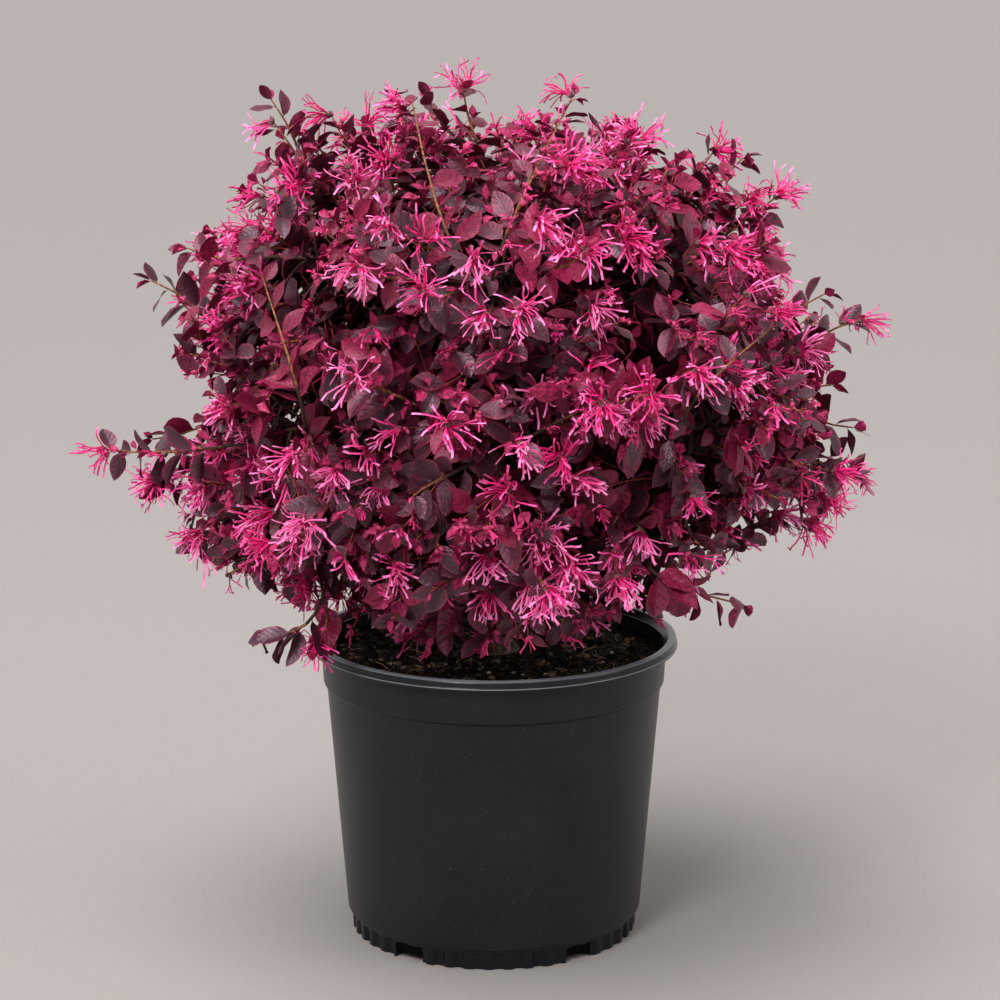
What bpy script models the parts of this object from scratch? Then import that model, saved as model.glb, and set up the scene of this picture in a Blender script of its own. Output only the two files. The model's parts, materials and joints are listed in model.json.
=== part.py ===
# A chinese fringe flower shrub in its nursery pot: metres, +Z up, the pot's foot on z = 0, its front at -Y.

import math
import random

import bmesh
import bpy
import numpy as np
from mathutils import Matrix, Vector
from mathutils.bvhtree import BVHTree

SEED = 17
GAP = 0.0003
UP = Vector((0, 0, 1))

# Pot: radii and heights of the turned wall, measured to its outside
POT_SIDES = 32
POT_HEIGHT = 0.2305
FOOT_RADIUS = 0.1095
FOOT_TOP_RADIUS = 0.1107
FOOT_HEIGHT = 0.0155
LEDGE = 0.001
WALL_LOW_RADIUS = 0.113
WALL_HIGH_RADIUS = 0.1275
BAND_Z = 0.196
BAND_LOW_RADIUS = 0.130
BAND_HIGH_RADIUS = 0.1315
WALL_THICKNESS = 0.0022
FLOOR_THICKNESS = 0.0042
RIM_RADIUS = 0.140
RIM_DEPTH = 0.0075
RIM_WIDTH = 0.0068
RIM_EDGE = 0.0007

# Drain openings and the upright flutes round the foot
DRAINS = 5
DRAIN_WIDTH = 0.024
DRAIN_HEIGHT = 0.012
DRAIN_DEPTH = 0.014
DRAIN_TURN = math.radians(-54)
FLUTES = 30
FLUTE_WIDTH = 0.0034
FLUTE_DEPTH = 0.0016
FLUTE_TOP = 0.0135

# Potting mix, level in the middle where the stem stands
SOIL_TOP = 0.2175
SOIL_EDGE_DROP = 0.002
SOIL_FLAT_RADIUS = 0.06

# Stem: a short leaning foot that ends in the knob where the boughs fork
STEM_SIDES = 10
STEM_FLARE_RADIUS = 0.0195
STEM_RADIUS = 0.0112
STEM_FLARE_HEIGHT = 0.016
KNOB_RADIUS = 0.0145
KNOB = Vector((0.003, 0.0, 0.2535))

# Boughs: main ones fork from the knob, side ones leave a main one at the first of SIDE_STARTS that is free
FORK_RISE = math.radians(47)
SIDE_STARTS = (0.55, 0.45, 0.65, 0.35, 0.75, 0.28)
BOUGH_SIDES = 5
BOUGH_RINGS = 6
MAIN_RADIUS = 0.0042
MAIN_TIP_RADIUS = 0.0028
SIDE_RADIUS = 0.0032
SIDE_TIP_RADIUS = 0.0025
BOUGH_CROOK = 0.004

# Crown: a rounded body about CENTRE, wider than it is tall
CENTRE = Vector((0.006, 0.0, 0.405))
HALF_WIDTH = 0.268
HALF_DEPTH = 0.260
HALF_UP = 0.234
HALF_DOWN = 0.188
SHOULDER = 2.8
BELLY = 2.4
BODY_LIMIT = 1.07
SPRIG_LIMIT = 1.6

# Where a mass starts and has its middle, as shares of the way from CENTRE to the crown's outside
MASS_START = 0.50
MASS_MIDDLE = 0.74

# Room that a mass leaves to its neighbours, to the pot's rim and to the soil
CELL_MARGIN = 0.0003
RIM_ROOM = 0.002
SOIL_ROOM = 0.003
FLAT = math.radians(0.2)

# Rings of foliage masses: name, number, height angle, turn of the first one, all in degrees
RINGS = (
    ("low", 6, -33, -90),
    ("middle", 7, 2, -90),
    ("upper", 6, 38, -90),
    ("top", 1, 88, -90),
)
PLACES = ("right", "back_right", "back", "back_left", "left", "front_left", "front", "front_right")

# Twigs of a mass: they branch from its stalk and end near the crown's outside
STALK_RINGS = 4
STALK_RADIUS = 0.0024
TWIGS = 7
TWIG_RINGS = 3
TWIG_RADIUS = 0.0019
TWIG_TIP_RADIUS = 0.0013
TWIG_SPREAD = math.radians(31)
TWIG_ENDS = (0.86, 0.99)
GOLDEN_ANGLE = math.pi * (3 - math.sqrt(5))

# Leaves and petal straps, larger than life so that fewer of them fill the crown
LEAVES_ON_TWIG = 2
LEAF_ZONE = (0.55, 0.95)
LEAF_SWINGS = (1.0, -1.0, 0.4, -0.4)
LEAF_LENGTH = 0.070
LEAF_WIDTH = 0.039
LEAF_THICKNESS = 0.0024
LEAF_WIDEST = 0.42
LEAF_DROOP = 0.06
LEAF_CUP = 0.10
SINK = 0.0008
SIZE_RANGE = (0.85, 1.1)
BLOSSOM_EVERY = 3
STRAPS = 4
STRAP_LENGTH = 0.032
STRAP_WIDTH = 0.0065
STRAP_THICKNESS = 0.0014
STRAP_LEAN = 0.75
STRAP_DROOP = 0.25

# Core of a mass, inside its twigs
CORE_ACROSS = 0.084
CORE_THROUGH = 0.038
CORE_ROUGHNESS = 0.26
CORE_MIDDLE = 0.66
CORE_INNER = 0.53
CORE_OUTER = 0.76
SHRINK_STEP = 0.05

# Sprigs that stand out of the crown: what ends them, and the place of their tip
SPRIGS = (
    ("blossom", -0.300, -0.020, 0.361),
    ("leaf", -0.262, 0.015, 0.515),
    ("leaf", -0.226, -0.030, 0.548),
    ("leaf", -0.168, 0.020, 0.643),
    ("blossom", -0.066, -0.050, 0.645),
    ("blossom", -0.028, 0.010, 0.673),
    ("blossom", 0.073, -0.020, 0.648),
    ("leaf", 0.184, 0.010, 0.602),
    ("blossom", 0.221, -0.030, 0.568),
    ("blossom", 0.288, 0.010, 0.472),
    ("leaf", 0.279, -0.030, 0.392),
    ("blossom", 0.268, -0.060, 0.336),
    ("leaf", 0.200, -0.060, 0.248),
    ("leaf", -0.190, -0.070, 0.228),
    ("leaf", -0.232, -0.020, 0.296),
    ("blossom", -0.262, -0.050, 0.335),
    ("leaf", -0.060, -0.284, 0.395),
    ("blossom", 0.120, -0.268, 0.470),
    ("leaf", 0.090, 0.286, 0.420),
    ("blossom", -0.140, 0.262, 0.470),
    ("blossom", 0.030, 0.160, 0.642),
    ("leaf", -0.060, 0.220, 0.262),
)

BLACK_PLASTIC = (0.024, 0.025, 0.027)
DARK_MIX = (0.022, 0.014, 0.010)
BARK = (0.150, 0.075, 0.045)
WINE_LEAVES = (0.095, 0.014, 0.028)


def clear_scene():
    for obj in list(bpy.data.objects):
        bpy.data.objects.remove(obj, do_unlink=True)


def material(name, colour, roughness):
    made = bpy.data.materials.new(name)
    made.use_nodes = True
    shader = made.node_tree.nodes["Principled BSDF"]
    shader.inputs["Base Color"].default_value = (*colour, 1.0)
    shader.inputs["Roughness"].default_value = roughness
    shader.inputs["Metallic"].default_value = 0.0
    return made


def mesh_object(name, shape, coat=None, smooth_angle=None):
    points, faces = shape
    mesh = bpy.data.meshes.new(name)
    mesh.from_pydata([tuple(point) for point in points], [], faces)
    if coat:
        mesh.materials.append(coat)
    if smooth_angle:
        mesh.shade_smooth()
        mesh.set_sharp_from_angle(angle=smooth_angle)
    obj = bpy.data.objects.new(name, mesh)
    bpy.context.scene.collection.objects.link(obj)
    return obj


def lathe(profile, sides):
    """A solid turned about Z from (radius, height) points, from one pole up the outside to the other."""
    points = [Vector((0, 0, profile[0][1]))]
    for radius, height in profile[1:-1]:
        for side in range(sides):
            angle = math.tau * side / sides
            points.append(Vector((radius * math.cos(angle), radius * math.sin(angle), height)))
    points.append(Vector((0, 0, profile[-1][1])))
    last_ring = 1 + sides * (len(profile) - 3)
    faces = []
    for side in range(sides):
        after = (side + 1) % sides
        faces.append((0, 1 + after, 1 + side))
        for start in range(1, last_ring, sides):
            faces.append((start + side, start + after, start + sides + after, start + sides + side))
        faces.append((last_ring + side, last_ring + after, len(points) - 1))
    return points, faces


def tube(path, radii, sides, leave=None):
    """A closed limb along a path, its first ring square to leave and no ring turned more than it must be."""
    points, faces = [], []
    normal = (path[1] - path[0]).orthogonal().normalized()
    for index, centre in enumerate(path):
        before, after = path[max(index - 1, 0)], path[min(index + 1, len(path) - 1)]
        along = leave if leave and index == 0 else (after - before).normalized()
        normal = (normal - along * normal.dot(along)).normalized()
        across = along.cross(normal)
        for side in range(sides):
            angle = math.tau * side / sides
            away = normal * math.cos(angle) + across * math.sin(angle)
            points.append(centre + away * radii[index])
    for ring in range(len(path) - 1):
        for side in range(sides):
            after = (side + 1) % sides
            low, high = ring * sides, (ring + 1) * sides
            faces.append((low + side, low + after, high + after, high + side))
    top = (len(path) - 1) * sides
    faces.append(tuple(reversed(range(sides))))
    faces.append(tuple(range(top, top + sides)))
    return points, faces


def curve(start, leave, arrive, end, count, bend=0.36):
    """Points of a cubic curve that leaves and arrives along the given directions."""
    length = (end - start).length * bend
    near, far = start + leave * length, end - arrive * length
    found = []
    for step in range(count):
        t = step / (count - 1)
        s = 1 - t
        found.append(start * s**3 + near * 3 * s * s * t + far * 3 * s * t * t + end * t**3)
    return found


def taper(thick, thin, count):
    return [thick + (thin - thick) * step / (count - 1) for step in range(count)]


def bvh(shape):
    points, faces = shape
    return BVHTree.FromPolygons(points, faces)


def heading(turn, height):
    """The unit direction at a turn about Z from +X and a height angle above level."""
    return Vector((math.cos(turn) * math.cos(height), math.sin(turn) * math.cos(height), math.sin(height)))


def reach(direction):
    """How far the body of the crown goes from CENTRE in a direction."""
    level = math.hypot(direction.x / HALF_WIDTH, direction.y / HALF_DEPTH)
    up = direction.z > 0
    power = SHOULDER if up else BELLY
    rise = abs(direction.z) / (HALF_UP if up else HALF_DOWN)
    return (level**power + rise**power) ** (-1 / power)


def shell(direction, fraction):
    return CENTRE + direction * reach(direction) * fraction


def depth_in_crown(point):
    """0 at the crown's centre and 1 on its outside."""
    away = point - CENTRE
    return away.length / reach(away.normalized()) if away.length > 0 else 0.0


# The pot

def wall_profile():
    """The outside of the wall, from the foot up to the rim, as (radius, height)."""
    return [
        (FOOT_RADIUS, 0.0),
        (FOOT_TOP_RADIUS, FOOT_HEIGHT),
        (WALL_LOW_RADIUS, FOOT_HEIGHT + LEDGE),
        (WALL_HIGH_RADIUS, BAND_Z - 2 * LEDGE),
        (BAND_LOW_RADIUS, BAND_Z),
        (BAND_HIGH_RADIUS, POT_HEIGHT - RIM_DEPTH),
    ]


def rim_profile():
    under = POT_HEIGHT - RIM_DEPTH
    return [
        (RIM_RADIUS, under),
        (RIM_RADIUS, POT_HEIGHT - RIM_EDGE),
        (RIM_RADIUS - RIM_EDGE, POT_HEIGHT),
        (RIM_RADIUS - RIM_WIDTH, POT_HEIGHT),
    ]


def inner_profile(inset=0.0):
    """The inside of the wall from the top down to the floor, moved towards the axis by inset."""
    step_in = WALL_THICKNESS + inset
    return [
        (BAND_HIGH_RADIUS - step_in, POT_HEIGHT - RIM_DEPTH + 2 * LEDGE),
        (BAND_LOW_RADIUS - step_in, BAND_Z - LEDGE),
        (WALL_HIGH_RADIUS - step_in, BAND_Z - 4 * LEDGE),
        (WALL_LOW_RADIUS - step_in, FOOT_HEIGHT + 3 * LEDGE),
        (FOOT_TOP_RADIUS - step_in, FOOT_HEIGHT),
        (FOOT_RADIUS - step_in, FLOOR_THICKNESS + inset),
    ]


def foot_cutter(name, turn, width, height, inner, outer):
    """A block that cuts the foot's wall from below at one turn about the axis."""
    below = 2 * LEDGE
    centre = heading(turn, 0) * (inner + outer) / 2 + Vector((0, 0, (height - below) / 2))
    size = Matrix.Diagonal((outer - inner, width, height + below, 1.0))
    place = Matrix.Translation(centre) @ Matrix.Rotation(turn, 4, "Z") @ size
    block = bmesh.new()
    bmesh.ops.create_cube(block, size=1, matrix=place)
    mesh = bpy.data.meshes.new(name)
    block.to_mesh(mesh)
    block.free()
    cutter = bpy.data.objects.new(name, mesh)
    cutter.hide_render = True
    cutter.display_type = "WIRE"
    return cutter


def drain_turn(index):
    return DRAIN_TURN + math.tau * index / DRAINS


def to_nearest_drain(turn):
    """The angle from a turn about the axis to the middle of the nearest drain opening."""
    return min(abs(math.remainder(turn - drain_turn(drain), math.tau)) for drain in range(DRAINS))


def make_pot():
    profile = [(0, 0.0)] + wall_profile() + rim_profile() + inner_profile() + [(0, FLOOR_THICKNESS)]
    coat = material("black_plastic", BLACK_PLASTIC, 0.42)
    pot = mesh_object("pot", lathe(profile, POT_SIDES), coat, math.radians(30))
    cutters = bpy.data.collections.new("foot_cutters")
    bpy.context.scene.collection.children.link(cutters)
    outer = RIM_RADIUS
    for index in range(FLUTES):
        turn = math.tau * (index + 0.5) / FLUTES
        if to_nearest_drain(turn) * FOOT_RADIUS > DRAIN_WIDTH / 2 + FLUTE_WIDTH:
            inner = FOOT_RADIUS - FLUTE_DEPTH
            cutters.objects.link(foot_cutter(f"flute_{index}", turn, FLUTE_WIDTH, FLUTE_TOP, inner, outer))
    for index in range(DRAINS):
        turn, inner = drain_turn(index), FOOT_RADIUS - DRAIN_DEPTH
        cutters.objects.link(foot_cutter(f"drain_{index}", turn, DRAIN_WIDTH, DRAIN_HEIGHT, inner, outer))
    cut = pot.modifiers.new("foot", "BOOLEAN")
    cut.operation = "DIFFERENCE"
    cut.operand_type = "COLLECTION"
    cut.collection = cutters
    return pot


def soil_profile():
    high, low, wall, _, _, floor = inner_profile(GAP)
    edge_z = SOIL_TOP - SOIL_EDGE_DROP
    share = (edge_z - low[1]) / (high[1] - low[1])
    edge = (low[0] + (high[0] - low[0]) * share, edge_z)
    return [(0, floor[1]), floor, wall, low, edge, (SOIL_FLAT_RADIUS, SOIL_TOP), (0, SOIL_TOP)]


def make_soil():
    coat = material("dark_mix", DARK_MIX, 0.95)
    return mesh_object("soil", lathe(soil_profile(), POT_SIDES), coat, math.radians(40))


# The stem and the boughs

def stem_shape():
    """A turned stem with its root flare, leaned so that it ends round KNOB."""
    foot = SOIL_TOP + GAP
    profile = [(0, foot), (STEM_FLARE_RADIUS, foot)]
    for step in (1, 2, 3):
        share = step / 3
        radius = STEM_RADIUS + (STEM_FLARE_RADIUS - STEM_RADIUS) * (1 - share) ** 2
        profile.append((radius, foot + STEM_FLARE_HEIGHT * share))
    for angle in range(-30, 90, 15):
        radius = KNOB_RADIUS * math.cos(math.radians(angle))
        profile.append((radius, KNOB.z + KNOB_RADIUS * math.sin(math.radians(angle))))
    profile.append((0, KNOB.z + KNOB_RADIUS))
    points, faces = lathe(profile, STEM_SIDES)
    for point in points:
        lean = min(1.0, (point.z - foot) / (KNOB.z - KNOB_RADIUS - foot))
        point.x += KNOB.x * lean
        point.y += KNOB.y * lean
    return points, faces


class Bough:
    """One tapering limb: where it starts and ends, its path, its shape and the direction of its tip."""

    def __init__(self, name, start, leave, end, arrive, thick, thin, rng):
        self.name = name
        self.path = curve(start, leave, arrive, end, BOUGH_RINGS)
        for index in range(2, BOUGH_RINGS - 2):
            self.path[index] += random_unit(rng) * BOUGH_CROOK
        self.radii = taper(thick, thin, BOUGH_RINGS)
        self.shape = tube(self.path, self.radii, BOUGH_SIDES, leave)
        self.tip = self.path[-1]
        self.tip_direction = (self.path[-1] - self.path[-2]).normalized()

    def place(self, share):
        """Centre, direction and radius at a share of the way along."""
        spot = share * (BOUGH_RINGS - 1)
        low = min(int(spot), BOUGH_RINGS - 2)
        rest = spot - low
        centre = self.path[low].lerp(self.path[low + 1], rest)
        radius = self.radii[low] + (self.radii[low + 1] - self.radii[low]) * rest
        return centre, (self.path[low + 1] - self.path[low]).normalized(), radius


def random_unit(rng):
    return heading(rng.uniform(0, math.tau), math.asin(rng.uniform(-1, 1)))


def mass_sites():
    """Name, ring, direction of each mass, in the order of RINGS."""
    found = []
    for ring, count, height, first in RINGS:
        for index in range(count):
            turn = first + 360 * index / count
            place = PLACES[round(turn / 45) % 8]
            name = ring if count == 1 else f"{ring}_{place}"
            found.append((name, ring, heading(math.radians(turn), math.radians(height))))
    return found


def main_bough(name, direction, rng):
    """A bough that starts on the knob and ends where its mass starts."""
    end = shell(direction, MASS_START)
    turn, height = math.atan2(direction.y, direction.x), math.asin(direction.z)
    leave = heading(turn, max(height, FORK_RISE))
    start = KNOB + leave * (KNOB_RADIUS + GAP)
    return Bough(name, start, leave, end, direction, MAIN_RADIUS, MAIN_TIP_RADIUS, rng)


def side_bough(name, direction, carriers, blocked, rng):
    """A bough that leaves a main one square to it, at the first place where it comes clear of the rest."""
    end = shell(direction, MASS_START)
    carriers = sorted(carriers, key=lambda bough: (bough.tip - end).length)
    for carrier in carriers[:3]:
        for share in SIDE_STARTS:
            centre, along, radius = carrier.place(share)
            towards = end - centre
            leave = (towards - along * towards.dot(along)).normalized()
            start = centre + leave * (radius + GAP)
            bough = Bough(name, start, leave, end, direction, SIDE_RADIUS, SIDE_TIP_RADIUS, rng)
            tree = bvh(bough.shape)
            if not any(tree.overlap(other) for other in blocked):
                return bough
    raise ValueError(f"{name} finds no free way")


def make_boughs(sites, rng):
    boughs = {}
    stem_tree = bvh(stem_shape())
    for name, ring, direction in sites:
        if ring in ("middle", "top"):
            boughs[name] = main_bough("bough_" + name, direction, rng)
    mains = list(boughs.values())
    blocked = [stem_tree] + [bvh(bough.shape) for bough in mains]
    for name, ring, direction in sites:
        if ring in ("low", "upper"):
            boughs[name] = side_bough("bough_" + name, direction, mains, blocked, rng)
            blocked.append(bvh(boughs[name].shape))
    return boughs


# The foliage masses

def leaf_shape(root, along, facing, length, width):
    """A pointed blade of eight faces, its root sunk behind the point it grows from."""
    across = along.cross(facing).normalized()
    up = across.cross(along)
    start = root - along * SINK
    middle = root + along * length * LEAF_WIDEST
    tip = root + along * length - up * length * LEAF_DROOP
    half = LEAF_THICKNESS / 2
    points = [
        start,
        tip,
        middle + across * width / 2 + up * width * LEAF_CUP,
        middle - across * width / 2 + up * width * LEAF_CUP,
        middle + up * half,
        middle - up * half,
    ]
    faces = [(0, 4, 2), (2, 4, 1), (1, 4, 3), (3, 4, 0), (0, 2, 5), (2, 1, 5), (1, 3, 5), (3, 0, 5)]
    return points, outward(points, faces)


def strap_shape(root, along, facing, length):
    """A petal strap of four faces: deep where it is rooted, wide and thin at its end."""
    across = along.cross(facing).normalized()
    up = across.cross(along)
    start = root - along * SINK
    tip = root + along * length
    points = [
        start + up * STRAP_THICKNESS / 2,
        start - up * STRAP_THICKNESS / 2,
        tip + across * STRAP_WIDTH / 2,
        tip - across * STRAP_WIDTH / 2,
    ]
    faces = [(0, 1, 2), (0, 3, 1), (0, 2, 3), (1, 3, 2)]
    return points, outward(points, faces)


def outward(points, faces):
    """The faces of a convex shape, each turned to point away from its middle."""
    middle = sum(points, Vector()) / len(points)
    found = []
    for face in faces:
        a, b, c = (points[index] for index in face[:3])
        out = (b - a).cross(c - a).dot(a - middle) > 0
        found.append(face if out else tuple(reversed(face)))
    return found


def core_shape(direction, space, rng):
    """A low round body, flattened along its direction and drawn in where it would leave its space."""
    centre = shell(direction, CORE_MIDDLE)
    seed = bmesh.new()
    bmesh.ops.create_icosphere(seed, subdivisions=2, radius=1.0)
    turn = direction.to_track_quat("Z", "X").to_matrix() @ Matrix.Rotation(rng.uniform(0, 1), 3, "Z")
    size = Matrix.Diagonal((CORE_ACROSS, CORE_ACROSS, CORE_THROUGH))
    points = []
    for vert in seed.verts:
        away = turn @ (size @ vert.co) * (1 - CORE_ROUGHNESS * rng.random())
        share = 1.0
        while share > 2 * SHRINK_STEP and not space.holds_core(centre + away * share):
            share -= SHRINK_STEP
        points.append(centre + away * share)
    faces = [tuple(vert.index for vert in face.verts) for face in seed.faces]
    seed.free()
    return points, faces


class Space:
    """The room of one mass: nearer to its own site than to any other, and clear of limbs, pot and soil."""

    def __init__(self, site, others, obstacles):
        self.planes = []
        for other in others:
            normal = (other - site).normalized()
            self.planes.append((normal, ((site + other) / 2).dot(normal) - CELL_MARGIN))
        self.obstacles = obstacles

    def holds(self, points, most=BODY_LIMIT):
        rim, soil = POT_HEIGHT + RIM_ROOM, SOIL_TOP + SOIL_ROOM
        inside, outside = WALL_LOW_RADIUS - RIM_ROOM, RIM_RADIUS + RIM_ROOM
        for point in points:
            if any(normal.dot(point) > limit for normal, limit in self.planes):
                return False
            if depth_in_crown(point) > most:
                return False
            level = math.hypot(point.x, point.y)
            if point.z < rim and inside < level < outside:
                return False
            if point.z < soil and level < outside:
                return False
        return True

    def holds_core(self, point):
        return self.holds([point], CORE_OUTER) and depth_in_crown(point) > CORE_INNER

    def clear(self, shape):
        tree = bvh(shape)
        return not any(tree.overlap(other) for other in self.obstacles)


def twig_targets(direction, count, space, rng):
    """Points on the crown's outside, spread evenly over one mass."""
    turn = direction.to_track_quat("Z", "X").to_matrix()
    first = rng.uniform(0, math.tau)
    found = []
    for index in range(count):
        spread = TWIG_SPREAD * math.sqrt((index + 0.3) / count)
        depth = rng.uniform(*TWIG_ENDS)
        target = None
        while target is None or (spread > SHRINK_STEP and not space.holds([target])):
            target = shell(turn @ heading(first + GOLDEN_ANGLE * index, math.pi / 2 - spread), depth)
            spread -= SHRINK_STEP
        found.append(target)
    return found


def fitting(shapes, space, most):
    """Those of the shapes that the space has room for."""
    return [shape for shape in shapes if space.holds(shape[0], most) and space.clear(shape)]


def leaf(root, along, length):
    """A leaf that faces out of the crown."""
    out = (root - CENTRE).normalized()
    facing = (out + UP / 2).normalized()
    return leaf_shape(root, along.normalized(), facing, length, LEAF_WIDTH * length / LEAF_LENGTH)


def blossom(end, along, rng):
    """A burst of straps round a twig's end, each rooted a little further back than the last."""
    straps = []
    side = along.orthogonal().normalized()
    first = rng.uniform(0, math.tau)
    for index in range(STRAPS):
        angle = first + math.tau * index * 2 / STRAPS
        root = end - along * STRAP_WIDTH * (0.2 + 0.3 * index)
        turned = Matrix.Rotation(angle, 3, along) @ side
        way = (turned + along * STRAP_LEAN - UP * STRAP_DROOP).normalized()
        straps.append(strap_shape(root, way, along, STRAP_LENGTH * rng.uniform(*SIZE_RANGE)))
    return straps


def dress_twig(space, path, ends_in, rng, most):
    """Leaves to left and right along the outer part of a twig, and what its tip carries."""
    found = []
    for index in range(LEAVES_ON_TWIG):
        first, last = LEAF_ZONE
        share = first + (last - first) * (index + rng.uniform(0.2, 0.8)) / LEAVES_ON_TWIG
        spot = share * (len(path) - 1)
        low = min(int(spot), len(path) - 2)
        root = path[low].lerp(path[low + 1], spot - low)
        along = (path[low + 1] - path[low]).normalized()
        out = (root - CENTRE).normalized()
        side = along.cross(out).normalized() * (1 if index % 2 else -1)
        for swing in LEAF_SWINGS:
            way = side * swing + along * (1.1 - abs(swing)) + out * rng.uniform(-0.1, 0.25)
            placed = fitting([leaf(root, way, LEAF_LENGTH * rng.uniform(*SIZE_RANGE))], space, most)
            if placed:
                found += placed
                break
    along = (path[-1] - path[-2]).normalized()
    end = path[-1] - along * TWIG_RADIUS
    ending = blossom(end, along, rng) if ends_in == "blossom" else [leaf(end, along, LEAF_LENGTH)]
    return found + fitting(ending, space, most)


def twig_plan(direction, middle, space, sprigs, rng):
    """Each twig's end, what it carries there and how far it may stand out, the sprigs last."""
    plan = []
    for index, target in enumerate(twig_targets(direction, TWIGS - len(sprigs), space, rng)):
        plan.append((target, "blossom" if index % BLOSSOM_EVERY == 1 else "leaf", BODY_LIMIT))
    for kind, tip in sprigs:
        beyond = STRAP_LENGTH * STRAP_LEAN if kind == "blossom" else LEAF_LENGTH
        plan.append((tip - (tip - middle).normalized() * beyond, kind, SPRIG_LIMIT))
    return plan


def mass_pieces(direction, bough, space, sprigs, rng):
    """The stalk of one mass, and its core, twigs, leaves and straps, each a closed shape."""
    start = bough.tip + bough.tip_direction * GAP
    middle = shell(direction, MASS_MIDDLE)
    path = curve(start, bough.tip_direction, direction, middle, STALK_RINGS)
    stalk = tube(path, taper(STALK_RADIUS, TWIG_RADIUS, STALK_RINGS), 4)
    pieces = [core_shape(direction, space, rng)]
    for target, kind, most in twig_plan(direction, middle, space, sprigs, rng):
        root = path[-2].lerp(path[-1], rng.uniform(0.1, 0.95))
        leave = ((target - root).normalized() + direction * 0.4).normalized()
        twig_path = curve(root, leave, (target - CENTRE).normalized(), target, TWIG_RINGS)
        twig = tube(twig_path, taper(TWIG_RADIUS, TWIG_TIP_RADIUS, TWIG_RINGS), 3)
        if fitting([twig], space, most):
            dressed = dress_twig(space, twig_path, kind, rng, most)
            pieces += [twig] + dressed if dressed else []
    return stalk, pieces


def fuse(name, base, pieces, coat):
    """One closed body from a base and the pieces rooted in it."""
    obj = mesh_object(name, base, coat)
    parts = bpy.data.collections.new(name + "_parts")
    bpy.context.scene.collection.children.link(parts)
    for index, piece in enumerate(pieces):
        part = mesh_object(f"{name}_{index}", piece)
        bpy.context.scene.collection.objects.unlink(part)
        parts.objects.link(part)
    join = obj.modifiers.new("join", "BOOLEAN")
    join.operation = "UNION"
    join.operand_type = "COLLECTION"
    join.solver = "MANIFOLD"
    join.collection = parts
    bpy.context.view_layer.objects.active = obj
    bpy.ops.object.modifier_apply(modifier=join.name)
    for part in list(parts.objects):
        mesh = part.data
        bpy.data.objects.remove(part)
        bpy.data.meshes.remove(mesh)
    bpy.data.collections.remove(parts)
    keep_largest(obj.data)
    return obj


def keep_largest(mesh):
    """Drops loose scraps and fills sealed hollows: only the largest outer surface stays."""
    work = bmesh.new()
    work.from_mesh(mesh)
    bmesh.ops.dissolve_limit(work, angle_limit=FLAT, verts=work.verts, edges=work.edges)
    bmesh.ops.triangulate(work, faces=work.faces)
    left = set(work.verts)
    islands = []
    while left:
        stack = [left.pop()]
        island = set(stack)
        while stack:
            for edge in stack.pop().link_edges:
                for vert in edge.verts:
                    if vert in left:
                        left.remove(vert)
                        island.add(vert)
                        stack.append(vert)
        islands.append(island)
    islands.sort(key=len)
    bmesh.ops.delete(work, geom=[vert for island in islands[:-1] for vert in island], context="VERTS")
    work.to_mesh(mesh)
    work.free()


def make_masses(sites, boughs, rng):
    coat = material("wine_leaves", WINE_LEAVES, 0.6)
    obstacles = [bvh(stem_shape())]
    for bough in boughs.values():
        obstacles.append(bvh(tube(bough.path, [radius + 2 * GAP for radius in bough.radii], BOUGH_SIDES)))
    centres = [shell(direction, MASS_MIDDLE) for _, _, direction in sites]
    owners = []
    for tip in SPRIGS:
        owners.append(min(range(len(sites)), key=lambda index: (centres[index] - Vector(tip[1:])).length))
    for index, (name, _, direction) in enumerate(sites):
        others = centres[:index] + centres[index + 1:]
        space = Space(centres[index], others, obstacles)
        sprigs = [(tip[0], Vector(tip[1:])) for tip, owner in zip(SPRIGS, owners) if owner == index]
        stalk, pieces = mass_pieces(direction, boughs[name], space, sprigs, rng)
        fuse("foliage_" + name, stalk, pieces, coat)


def make_plant():
    rng = random.Random(SEED)
    bark = material("bark", BARK, 0.8)
    sites = mass_sites()
    mesh_object("stem", stem_shape(), bark, math.radians(40))
    boughs = make_boughs(sites, rng)
    for bough in boughs.values():
        mesh_object(bough.name, bough.shape, bark, math.radians(60))
    make_masses(sites, boughs, rng)


clear_scene()
make_pot()
make_soil()
make_plant()
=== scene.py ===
# Looks of a chinese fringe flower shrub in its nursery pot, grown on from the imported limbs.
# Metres, +Z up, the pot's foot on z = 0 and its front at -Y.

import json
import math
import random

import bmesh
import bpy
import numpy as np
from mathutils import Matrix, Vector, noise
from mathutils.bvhtree import BVHTree

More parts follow.
